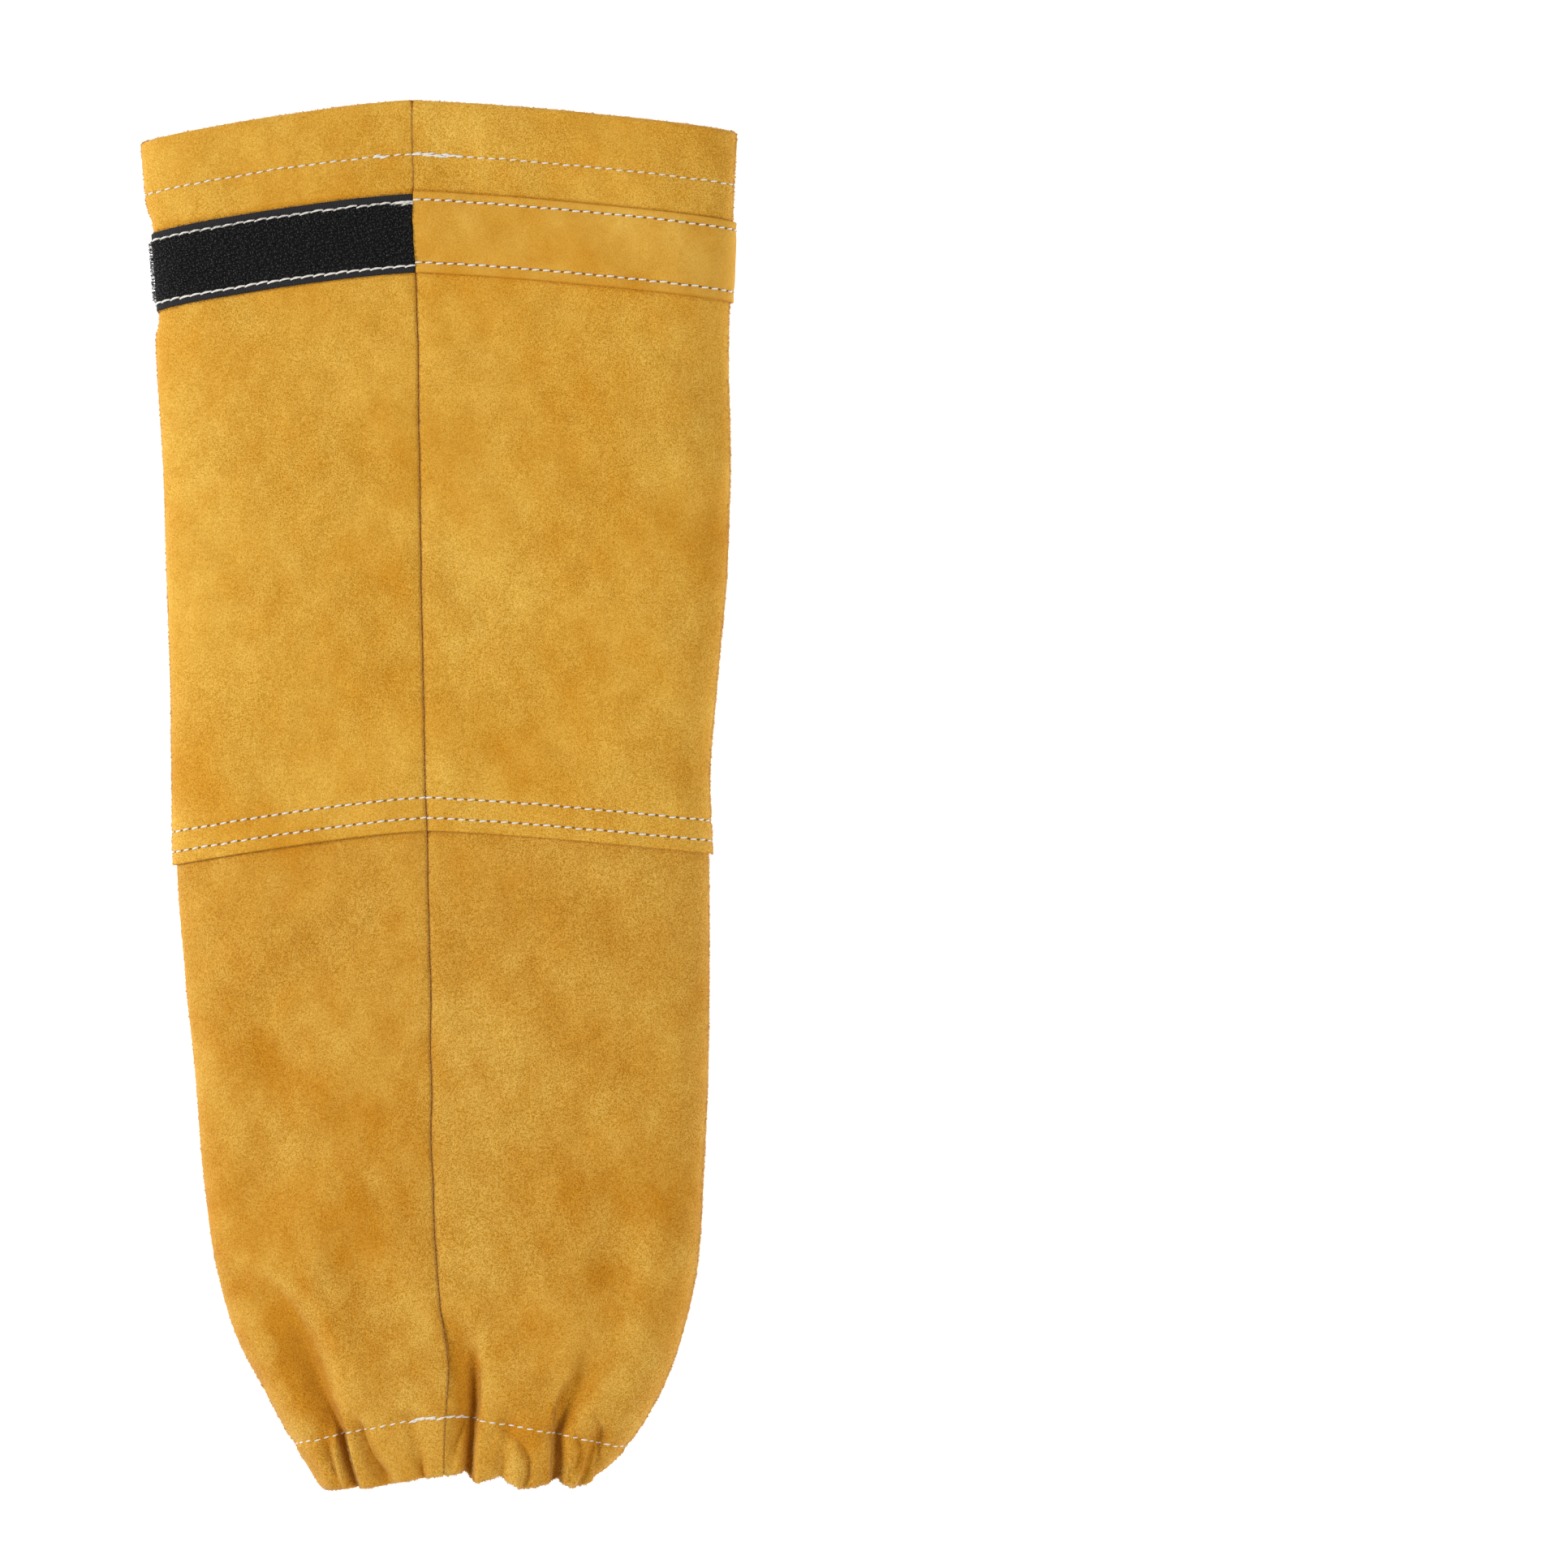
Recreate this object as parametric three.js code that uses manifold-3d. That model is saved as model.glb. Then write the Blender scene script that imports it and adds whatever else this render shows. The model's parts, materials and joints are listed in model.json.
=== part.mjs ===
// A welder's arm sleeve of split leather, lying flat as it is stored: a tube of two sewn panels, open at
// both ends. The upper panel laps over the lower one and carries a leather band and a strip of hook tape.
// The lower panel is turned in at the wrist round an elastic, which gathers it. One long seam closes both
// panels along the front, with its allowance standing inside as a fin.
//
// Millimetres, +Z up. The sleeve lies on z = 0 with its upper-arm end towards +Y, its seam side up, and
// the origin under the middle of its outline.
//
// Every sheet is worked out in the sleeve's own coordinates:
//   along   distance from the top edge, measured down the long seam
//   around  share of the way round from the seam: 0 seam, 0.25 right fold, 0.5 back, 0.75 left fold, 1 seam
//   column  the same share, measured on the casing's stitch line and followed along the gathers
//   depth   distance inwards from the upper panel's outer face
import * as THREE from 'three';
import { mergeVertices } from 'three/addons/utils/BufferGeometryUtils.js';
import Module from 'manifold-3d';

const wasm = await Module();
wasm.setup();

// Overall sizes
const sleeveLength = 533; // top edge at the seam to the lowest point of the cuff
const topWidth = 231; // flat width across the upper-arm end
const crownHeight = 30; // highest point of the upper side above the floor
const foldHeight = 9; // height of the side folds' outermost line above the floor
const topTurn = 15; // how far the top edge drops from the seam to the side folds

// Materials' thickness and clearances
const leather = 1.4;
const bandLeather = 1.3;
const tapeBase = 0.9;
const tapePile = 1.5; // hooks above the tape's base
const elastic = 1.0;
const gap = 0.3; // between sheets that lie on each other
const seamGap = 0.4; // between the two edges that meet at the long seam
const grooveDepth = 0.9;
const grooveHalf = 2.2;

// Places along the sleeve
const hemTurn = 25; // leather turned in at the top
const lapEdge = 281; // lower edge of the upper panel
const lapOverlap = 21; // how far the lower panel runs up under it
const bandTop = 35.3;
const bandWidth = 31.4;
const tapeWidth = 30.2; // its lower edge is level with the band's
const tapeSelvedge = 3; // bare woven edge beside the hooks
const cuffRise = 5; // the cuff's edge is this much higher at the seam than at its lowest lobes
const casingHeight = 22.2; // cuff edge up to the casing's stitch line
const casingMargin = 4; // turned leather above the stitch line
const casingRoom = 0.45; // clearance on each side of the elastic
const elasticWidth = 16;

// Seam allowance and gathers
const finDepth = 8;
const finTaper = 9; // length over which a fin rises to its full depth
const gatherDepth = 4.8; // deepest valley of the gathered cuff
const gatherReach = 62; // how far the longest valley runs up from the stitch line
const gatherNotch = 4.6; // how far a valley draws the cuff's edge up from its lobes
const edgeLobe = 3.8; // how far the lobes between valleys stand out below the edge's level
const tapePinch = 2.4; // how far the stiff tape holds the left fold in
const stitchWaist = 0.8; // how far the stitch line pulls the casing in
const dentDepth = 3;

// The flat outline, by share of sleeveLength down the seam. left, right and seam are shares of topWidth from
// the middle line. crown is a share of crownHeight. dropLeft and dropRight are shares of topTurn.
const sections = [
  { at: 0.0, left: 0.5, right: 0.5, seam: -0.041, crown: 0.8, dropLeft: 1.0, dropRight: 0.73 },
  { at: 0.1, left: 0.481, right: 0.489, seam: -0.0375, crown: 0.84, dropLeft: 0.92, dropRight: 0.69 },
  { at: 0.17, left: 0.472, right: 0.486, seam: -0.031, crown: 0.85, dropLeft: 0.9, dropRight: 0.66 },
  { at: 0.23, left: 0.463, right: 0.489, seam: -0.0285, crown: 0.86, dropLeft: 0.9, dropRight: 0.64 },
  { at: 0.32, left: 0.456, right: 0.4835, seam: -0.0255, crown: 0.87, dropLeft: 0.9, dropRight: 0.62 },
  { at: 0.4, left: 0.45, right: 0.4675, seam: -0.0225, crown: 0.88, dropLeft: 0.9, dropRight: 0.6 },
  { at: 0.47, left: 0.448, right: 0.455, seam: -0.019, crown: 0.89, dropLeft: 0.9, dropRight: 0.6 },
  { at: 0.53, left: 0.446, right: 0.46, seam: -0.0155, crown: 0.9, dropLeft: 0.9, dropRight: 0.6 },
  { at: 0.6, left: 0.434, right: 0.461, seam: -0.011, crown: 0.92, dropLeft: 0.88, dropRight: 0.64 },
  { at: 0.68, left: 0.4155, right: 0.459, seam: -0.008, crown: 0.95, dropLeft: 0.86, dropRight: 0.69 },
  { at: 0.75, left: 0.4025, right: 0.452, seam: -0.007, crown: 0.98, dropLeft: 0.83, dropRight: 0.75 },
  { at: 0.82, left: 0.381, right: 0.441, seam: -0.0005, crown: 1.0, dropLeft: 0.8, dropRight: 0.8 },
  { at: 0.87, left: 0.3485, right: 0.415, seam: 0.0075, crown: 1.0, dropLeft: 0.78, dropRight: 0.85 },
  { at: 0.91, left: 0.302, right: 0.38, seam: 0.0195, crown: 1.01, dropLeft: 0.76, dropRight: 0.87 },
  { at: 0.95, left: 0.25, right: 0.324, seam: 0.0165, crown: 1.0, dropLeft: 0.79, dropRight: 0.87 },
  { at: 0.975, left: 0.221, right: 0.292, seam: 0.0135, crown: 0.97, dropLeft: 0.48, dropRight: 0.46 },
  { at: 1.0, left: 0.196, right: 0.257, seam: 0.013, crown: 0.93, dropLeft: 0.1, dropRight: 0.0 },
];
// Side folds: the powers give their squareness above, 2 for an ellipse and more for a fuller shape.
const foldShape = { rightPower: 6, leftPower: 4, cuffPower: 4.5, backCorner: 10, archPower: 1.3 };

// Valleys of the gathered cuff, by share of the way round: where each lies at the cuff's edge, on the stitch
// line and at its upper end. depth is a share of gatherDepth and reach a share of gatherReach. before and
// after are the widths of its two sides. The last six lie underneath.
const gathers = [
  { edge: 0.008, stitch: 0.012, top: 0.004, depth: 0.25, reach: 0.08, before: 0.006, after: 0.006 },
  { edge: 0.0275, stitch: 0.024, top: 0.009, depth: 1.0, reach: 0.85, before: 0.012, after: 0.0065 },
  { edge: 0.07, stitch: 0.057, top: 0.054, depth: 0.6, reach: 0.15, before: 0.009, after: 0.012 },
  { edge: 0.129, stitch: 0.1, top: 0.112, depth: 0.95, reach: 0.7, before: 0.008, after: 0.015 },
  { edge: 0.178, stitch: 0.152, top: 0.15, depth: 0.6, reach: 0.12, before: 0.01, after: 0.013 },
  { edge: 0.848, stitch: 0.856, top: 0.85, depth: 0.35, reach: 0.1, before: 0.01, after: 0.007 },
  { edge: 0.874, stitch: 0.88, top: 0.87, depth: 0.95, reach: 0.95, before: 0.016, after: 0.0085 },
  { edge: 0.93, stitch: 0.912, top: 0.911, depth: 0.6, reach: 0.15, before: 0.011, after: 0.008 },
  { edge: 0.975, stitch: 0.967, top: 0.967, depth: 0.3, reach: 0.08, before: 0.008, after: 0.006 },
  { edge: 0.37, stitch: 0.37, top: 0.37, depth: 0.55, reach: 0.5, before: 0.014, after: 0.014 },
  { edge: 0.415, stitch: 0.415, top: 0.415, depth: 0.5, reach: 0.4, before: 0.012, after: 0.012 },
  { edge: 0.462, stitch: 0.462, top: 0.462, depth: 0.65, reach: 0.6, before: 0.012, after: 0.012 },
  { edge: 0.52, stitch: 0.52, top: 0.52, depth: 0.5, reach: 0.35, before: 0.012, after: 0.012 },
  { edge: 0.578, stitch: 0.578, top: 0.578, depth: 0.6, reach: 0.55, before: 0.012, after: 0.012 },
  { edge: 0.628, stitch: 0.628, top: 0.628, depth: 0.5, reach: 0.45, before: 0.014, after: 0.014 },
];

// Broad soft dents of the upper side. at and long are shares of sleeveLength, around and wide shares of the
// way round, depth a share of dentDepth.
const dents = [
  { at: 0.194, around: 0.192, depth: 0.5, long: 0.05, wide: 0.03 },
  { at: 0.214, around: 0.062, depth: 0.5, long: 0.03, wide: 0.04 },
  { at: 0.457, around: 0.0735, depth: 0.45, long: 0.014, wide: 0.05 },
  { at: 0.462, around: 0.913, depth: 0.6, long: 0.03, wide: 0.035 },
  { at: 0.6, around: 0.815, depth: 0.5, long: 0.016, wide: 0.03 },
  { at: 0.7, around: 0.89, depth: 1.0, long: 0.035, wide: 0.03 },
  { at: 0.784, around: 0.87, depth: 0.9, long: 0.03, wide: 0.03 },
  { at: 0.84, around: 0.9375, depth: 0.7, long: 0.025, wide: 0.03 },
  { at: 0.83, around: 0.122, depth: 1.0, long: 0.05, wide: 0.022 },
];

// Derived places
const frontLength = sleeveLength - cuffRise; // top edge to cuff edge, down the seam
const bandEnd = bandTop + bandWidth;
const tapeTop = bandEnd - tapeWidth;
const lowerTop = lapEdge - lapOverlap;
const stitchLine = frontLength - casingHeight;
const casingTop = stitchLine - casingMargin;
const lowerDepth = leather + gap; // the lower panel's outer face lies this far in
const casingSlot = casingRoom + elastic + casingRoom;
const elasticMiddle = frontLength - casingHeight / 2;
const elasticAlongs = [elasticMiddle - elasticWidth / 2, elasticMiddle + elasticWidth / 2];
const elasticDepth = lowerDepth + leather + casingRoom;

const smooth = (low, high, value) => THREE.MathUtils.smoothstep(value, low, high);
const bell = (value) => Math.exp(-value * value);

// The outline's values at a place along the sleeve, between the rows of the table by a smooth curve.
function sectionAt(along) {
  const share = THREE.MathUtils.clamp(along / sleeveLength, 0, 1);
  const last = sections.length - 2;
  const i = Math.min(last, sections.findLastIndex((row) => row.at <= share));
  const rowAt = (k) => sections[THREE.MathUtils.clamp(k, 0, last + 1)];
  const [r0, r1, r2, r3] = [i - 1, i, i + 1, i + 2].map(rowAt);
  const span = r2.at - r1.at;
  const t = (share - r1.at) / span;
  const value = (key) => {
    const m1 = (r2[key] - r0[key]) / (r2.at - r0.at) * span;
    const m2 = (r3[key] - r1[key]) / (r3.at - r1.at) * span;
    return r1[key] * (1 + 2 * t) * (1 - t) ** 2 + m1 * t * (1 - t) ** 2
      + r2[key] * t * t * (3 - 2 * t) - m2 * t * t * (1 - t);
  };
  return {
    left: -value('left') * topWidth,
    right: value('right') * topWidth,
    seam: value('seam') * topWidth,
    crown: value('crown') * crownHeight,
    dropLeft: value('dropLeft') * topTurn,
    dropRight: value('dropRight') * topTurn,
  };
}

// The bare outline: x and z of a point of the upper panel's outer face, and how far it drops below the seam.
// The upper side is a full arch, rounder on the left, and the underside lies flat between two quarter rounds.
function outline(along, around) {
  const s = sectionAt(along);
  const centre = (s.left + s.right) / 2;
  const half = (s.right - s.left) / 2;
  const front = around <= 0.25 || around >= 0.75;
  const onRight = around < 0.5;
  const turn = onRight ? around * 4 : (1 - around) * 4; // 0 at the seam, 1 at the fold, 2 at the back
  const side = onRight ? 1 : -1;
  const swing = Math.sin((turn * Math.PI) / 2);
  const drop = onRight ? s.dropRight : s.dropLeft;
  if (front) {
    const start = (side * (s.seam - centre) + seamGap / 2) / half;
    const across = Math.min(1, start + (1 - start) * swing);
    const armPower = onRight ? foldShape.rightPower : foldShape.leftPower;
    const nearCuff = smooth(0.8, 0.95, along / sleeveLength);
    const power = THREE.MathUtils.lerp(armPower, foldShape.cuffPower, nearCuff);
    const rise = Math.sqrt(1 - Math.abs(across) ** power);
    return {
      x: centre + side * across * half,
      z: foldHeight + (s.crown - foldHeight) * rise,
      drop: drop * swing ** foldShape.archPower,
    };
  }
  const across = Math.max(0, swing);
  const corner = Math.max(0, (across * half - (half - foldShape.backCorner)) / foldShape.backCorner);
  const level = (s.dropLeft + s.dropRight) / 2 * (1 - 0.6 * smooth(stitchLine, frontLength, along));
  return {
    x: centre + side * across * half,
    z: foldHeight * (1 - Math.sqrt(1 - Math.min(1, corner) ** 2)),
    drop: THREE.MathUtils.lerp(level, drop, across),
  };
}

// The outward direction across the outline, from the outline's own slope.
function outward(along, around) {
  const step = 0.002;
  const low = around < 0.5 ? Math.max(0, around - step) : Math.max(0.5, around - step);
  const high = around < 0.5 ? Math.min(0.5, around + step) : Math.min(1, around + step);
  const a = outline(along, low);
  const b = outline(along, high);
  return new THREE.Vector2(-(b.z - a.z), b.x - a.x).normalize();
}

// Where a column of the sheets lies at a place along the sleeve. Columns keep their share of the way round,
// apart from those near the cuff, which follow the gathers' valleys between edge, stitch line and upper end.
const drifting = [...gathers].sort((a, b) => a.stitch - b.stitch);
function drift(along, column) {
  const below = THREE.MathUtils.clamp((along - stitchLine) / casingHeight, 0, 1);
  const knots = [[0, 0], ...drifting.map((row) => {
    const climb = Math.max(0, stitchLine - along) / (row.reach * gatherReach);
    const above = Math.min(1, climb) * (1 - smooth(1, 2, climb));
    return [row.stitch, row.stitch + (row.edge - row.stitch) * below + (row.top - row.stitch) * above];
  }), [1, 1]];
  const i = Math.min(knots.length - 2, knots.findLastIndex(([from]) => from <= column));
  const [[from, to], [nextFrom, nextTo]] = [knots[i], knots[i + 1]];
  return THREE.MathUtils.mapLinear(column, from, nextFrom, to, nextTo);
}

// How much of a gather's valley there is at a point, from 0 to 1.
function valleyAt(row, along, column) {
  const climb = Math.min(1, Math.max(0, stitchLine - along) / (row.reach * gatherReach));
  const offset = column - row.stitch;
  const width = (offset < 0 ? row.before : row.after) * (1 + 1.1 * climb);
  return bell(offset / width) * (1 - smooth(0.15, 1, climb));
}

// Inward movement of the leather at a point: gathers, the stitch line's waist, dents, the pull of the tape on
// the left fold, and on the underside the thickness of the band and tape, which lie between panel and floor.
function inwards(along, column, around, normal) {
  let moved = 0;
  for (const row of gathers) moved += row.depth * gatherDepth * valleyAt(row, along, column);
  moved = Math.min(moved, gatherDepth) + stitchWaist * bell((along - stitchLine) / 3);
  for (const row of dents) {
    const far = Math.hypot((along / sleeveLength - row.at) / row.long, (around - row.around) / row.wide);
    moved += row.depth * dentDepth * bell(far);
  }
  const margin = 12;
  const above = smooth(bandTop - margin, bandTop - 1, along);
  const below = 1 - smooth(bandEnd + 1, bandEnd + margin, along);
  const under = Math.max(0, -normal.y) ** 2;
  const tapeSide = Math.max(0, -normal.x) ** 2;
  const stack = gap + THREE.MathUtils.lerp(bandLeather, tapeBase + tapePile, smooth(0.44, 0.497, around));
  moved += (under * stack + tapeSide * tapePinch) * above * below;
  return moved;
}

// The point of the sleeve at along, column and depth.
function place(along, column, depth) {
  const around = drift(along, column);
  const base = outline(along, around);
  const normal = outward(along, around);
  const shift = -depth - inwards(along, column, around, normal);
  const nearCuff = smooth(stitchLine, frontLength, along);
  let notch = 0.75 * bell(Math.min(column, 1 - column) / 0.02);
  for (const row of gathers) notch += row.depth * valleyAt(row, along, column);
  const lobes = edgeLobe * smooth(-0.2, 0.4, normal.y);
  return new THREE.Vector3(
    base.x + normal.x * shift,
    sleeveLength / 2 - along - base.drop + (Math.min(1, notch) * gatherNotch - lobes) * nearCuff,
    base.z + normal.y * shift,
  );
}

// The groove that the long seam draws into a panel's outer face.
function grooveAt(along, column, faceDepth) {
  const edge = column < 0.5 ? 0 : 1;
  const away = place(along, column, faceDepth).distanceTo(place(along, edge, faceDepth));
  return grooveDepth * bell(away / grooveHalf);
}

// Closes a grid of point pairs into a solid: rows[i][j] = { outer, inner }, neighbours joined both ways.
function solidFromPairs(rows) {
  const height = rows.length;
  const width = rows[0].length;
  const positions = [];
  for (const skin of ['outer', 'inner']) {
    for (const row of rows) for (const pair of row) positions.push(...pair[skin].toArray());
  }
  const id = (skin, i, j) => (skin * height + i) * width + j;
  const index = [];
  const quad = (a, b, c, d) => index.push(a, b, c, a, c, d);
  const otherQuad = (a, b, c, d) => index.push(a, b, d, b, c, d);
  for (let i = 0; i + 1 < height; i++) {
    for (let j = 0; j + 1 < width; j++) {
      // rows that run back up the sleeve take the other diagonal, so that they match the rows beside them
      const split = rows[i][j].outer.y > rows[i + 1][j].outer.y ? quad : otherQuad;
      split(id(0, i, j), id(0, i + 1, j), id(0, i + 1, j + 1), id(0, i, j + 1));
      split(id(1, i, j), id(1, i, j + 1), id(1, i + 1, j + 1), id(1, i + 1, j));
    }
    quad(id(0, i, 0), id(1, i, 0), id(1, i + 1, 0), id(0, i + 1, 0));
    quad(id(0, i, width - 1), id(0, i + 1, width - 1), id(1, i + 1, width - 1), id(1, i, width - 1));
  }
  for (let j = 0; j + 1 < width; j++) {
    quad(id(0, 0, j), id(0, 0, j + 1), id(1, 0, j + 1), id(1, 0, j));
    quad(id(0, height - 1, j), id(1, height - 1, j), id(1, height - 1, j + 1), id(0, height - 1, j + 1));
  }
  const geometry = new THREE.BufferGeometry();
  geometry.setAttribute('position', new THREE.Float32BufferAttribute(positions, 3));
  geometry.setIndex(index);
  return geometry;
}

// A sheet that follows the sleeve. Each profile row gives the along and depth of its outer and inner skins.
function sheet(profile, columns, grooveFace = null) {
  return solidFromPairs(profile.map(({ outer, inner }) => columns.map((column) => {
    const groove = outer[1] === grooveFace ? grooveAt(outer[0], column, grooveFace) : 0;
    return { outer: place(outer[0], column, outer[1] + groove), inner: place(inner[0], column, inner[1]) };
  })));
}

// Profile rows of leather turned in at an edge: down the outer wall, round the turn, back up inside.
// towards is 1 where the sheet lies beyond the edge (the top hem) and -1 where it lies before it (the cuff).
function turnedEdge(edge, towards, faceDepth, slot, innerAlongs, turnSteps) {
  const radius = leather + slot / 2;
  const centre = { along: edge + towards * radius, depth: faceDepth + radius };
  const rows = innerAlongs.map((along) => ({
    outer: [along, faceDepth + 2 * radius],
    inner: [along, faceDepth + leather + slot],
  }));
  for (let k = 0; k <= turnSteps; k++) {
    const angle = Math.PI * (1 - k / turnSteps);
    const onArc = (r) => [centre.along - towards * r * Math.sin(angle), centre.depth - r * Math.cos(angle)];
    rows.push({ outer: k === turnSteps ? [centre.along, faceDepth] : onArc(radius), inner: onArc(slot / 2) });
  }
  return rows;
}

const wallRows = (alongs, faceDepth, thickness) => alongs.map((along) => ({
  outer: [along, faceDepth],
  inner: [along, faceDepth + thickness],
}));

// A fin of seam allowance: it hangs from a panel's inner face beside the seam, tapered at both ends.
// wallAlongs are the wall's own rows, which it shares.
function fin(side, from, to, faceDepth, wallAlongs) {
  const root = faceDepth + grooveDepth + 0.25; // inside the wall, so that the two become one
  const near = 0.2; // clear of the wall's own edge face
  const between = wallAlongs.filter((along) => along > from + finTaper + 1 && along < to - finTaper - 1);
  const rows = [from, from + finTaper, ...between, to - finTaper, to].map((along) => {
    const full = Math.min(1, 0.15 + Math.min(along - from, to - along) / finTaper);
    const at = (depth, out) => {
      const point = place(along, side > 0 ? 0 : 1, depth);
      return point.setX(point.x + side * out);
    };
    const tip = faceDepth + leather + finDepth * full;
    return [root, tip].map((depth) => ({ outer: at(depth, near), inner: at(depth, near + leather) }));
  });
  const geometry = solidFromPairs(rows);
  return side > 0 ? geometry : flipped(geometry);
}

function flipped(geometry) {
  const index = geometry.index.array;
  for (let i = 0; i < index.length; i += 3) [index[i + 1], index[i + 2]] = [index[i + 2], index[i + 1]];
  return geometry;
}

function toManifold(geometry) {
  const bare = new THREE.BufferGeometry();
  bare.setAttribute('position', geometry.getAttribute('position'));
  bare.setIndex(geometry.index);
  const merged = mergeVertices(bare, 1e-4);
  return new wasm.Manifold(new wasm.Mesh({
    numProp: 3,
    vertProperties: merged.attributes.position.array,
    triVerts: new Uint32Array(merged.index.array),
  }));
}

function fromManifold(solid) {
  const mesh = solid.getMesh();
  const geometry = new THREE.BufferGeometry();
  geometry.setAttribute('position', new THREE.BufferAttribute(mesh.vertProperties, mesh.numProp));
  geometry.setIndex(new THREE.BufferAttribute(mesh.triVerts, 1));
  return geometry;
}

const joined = (...parts) => fromManifold(parts.map(toManifold).reduce((a, b) => a.add(b)));

// Columns round the sleeve, as shares of a quarter. Every sheet uses the same ones, so that sheets on each
// other have parallel facets. The front quarters run from seam to fold, the back ones from fold to middle.
const frontShares = [0, 0.024, 0.1, 0.2, 0.3, 0.4, 0.5, 0.6, 0.7, 0.79, 0.87, 0.94];
const backShares = [0, 0.08, 0.16, 0.25, 0.35, 0.55, 0.78];
const half = [...frontShares.map((share) => share / 4), ...backShares.map((share) => (1 + share) / 4)];
const columns = [...half, 0.5, ...half.map((around) => 1 - around)].sort((a, b) => a - b);

// The lower panel has more: at the bottom and on both sides of every valley.
function gatherColumns() {
  const found = [...columns];
  for (const row of gathers) {
    const deep = row.depth > 0.9;
    for (const k of deep ? [-1.5, -0.65, 0, 0.65, 1.5] : [-1.2, 0, 1.2]) {
      const column = row.stitch + k * (k < 0 ? row.before : row.after);
      if (!found.some((known) => Math.abs(known - column) < 0.0035)) found.push(column);
    }
  }
  return found.sort((a, b) => a - b);
}

function upperPanel() {
  const hemRows = turnedEdge(0, 1, 0, gap, [hemTurn], 3);
  const straight = [hemTurn - 2, bandTop - 1, bandEnd + 1, 0.17 * sleeveLength, 0.23 * sleeveLength,
    0.3 * sleeveLength, 0.37 * sleeveLength, 0.43 * sleeveLength, lowerTop, lapEdge];
  const wall = sheet([...hemRows, ...wallRows(straight, 0, leather)], columns, 0);
  const finEnds = [hemTurn + gap, lowerTop - gap];
  return joined(wall, fin(1, ...finEnds, 0, straight), fin(-1, ...finEnds, 0, straight));
}

function lowerPanel() {
  const innerRows = [casingTop, stitchLine, ...elasticAlongs];
  const edgeRows = turnedEdge(frontLength, -1, lowerDepth, casingSlot, innerRows, 3).reverse();
  const shares = [0.6, 0.68, 0.75, 0.8, 0.84, 0.88, 0.915];
  const straight = [lowerTop, lapEdge, ...shares.map((share) => share * sleeveLength), casingTop, stitchLine,
    ...elasticAlongs];
  const profile = [...wallRows(straight, lowerDepth, leather), ...edgeRows];
  const wall = sheet(profile, gatherColumns(), lowerDepth);
  const finEnds = [lowerTop, casingTop - gap];
  return joined(wall, fin(1, ...finEnds, lowerDepth, straight), fin(-1, ...finEnds, lowerDepth, straight));
}

const rightSide = columns.filter((around) => around <= 0.5);
const leftSide = columns.filter((around) => around >= 0.5);
const backGap = 0.002; // share of the way round that keeps the band's and the tape's far ends apart

function leatherBand() {
  const reach = rightSide.map((around) => Math.min(around, 0.5 - backGap));
  const face = -gap - bandLeather;
  return sheet(wallRows([bandTop, (bandTop + bandEnd) / 2, bandEnd], face, bandLeather), reach);
}

function hookTape() {
  const reach = leftSide.map((around) => Math.max(around, 0.5 + backGap));
  const base = -gap - tapeBase;
  const low = tapeTop + tapeSelvedge;
  const high = bandEnd - tapeSelvedge;
  const slope = 0.4;
  const rows = [[tapeTop, base], [low, base], [low + slope, base - tapePile], [high - slope, base - tapePile],
    [high, base], [bandEnd, base]];
  return sheet(rows.map(([along, depth]) => ({ outer: [along, depth], inner: [along, -gap] })), reach);
}

function cuffElastic() {
  return sheet(wallRows(elasticAlongs, elasticDepth, elastic), gatherColumns());
}

const suede = new THREE.MeshStandardMaterial({ color: 0xd29c40, roughness: 0.95, metalness: 0 });
const smoothSuede = new THREE.MeshStandardMaterial({ color: 0xcf9b44, roughness: 0.9, metalness: 0 });
const blackNylon = new THREE.MeshStandardMaterial({ color: 0x1c1c1d, roughness: 0.8, metalness: 0 });
const whiteElastic = new THREE.MeshStandardMaterial({ color: 0xe6e2d8, roughness: 0.9, metalness: 0 });

const sleeve = new THREE.Group();
function addPiece(name, geometry, material) {
  const mesh = new THREE.Mesh(geometry, material);
  mesh.name = name;
  sleeve.add(mesh);
}
addPiece('upper_panel', upperPanel(), suede);
addPiece('lower_panel', lowerPanel(), suede);
addPiece('leather_band', leatherBand(), smoothSuede);
addPiece('hook_tape', hookTape(), blackNylon);
addPiece('cuff_elastic', cuffElastic(), whiteElastic);

export default sleeve;
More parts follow.
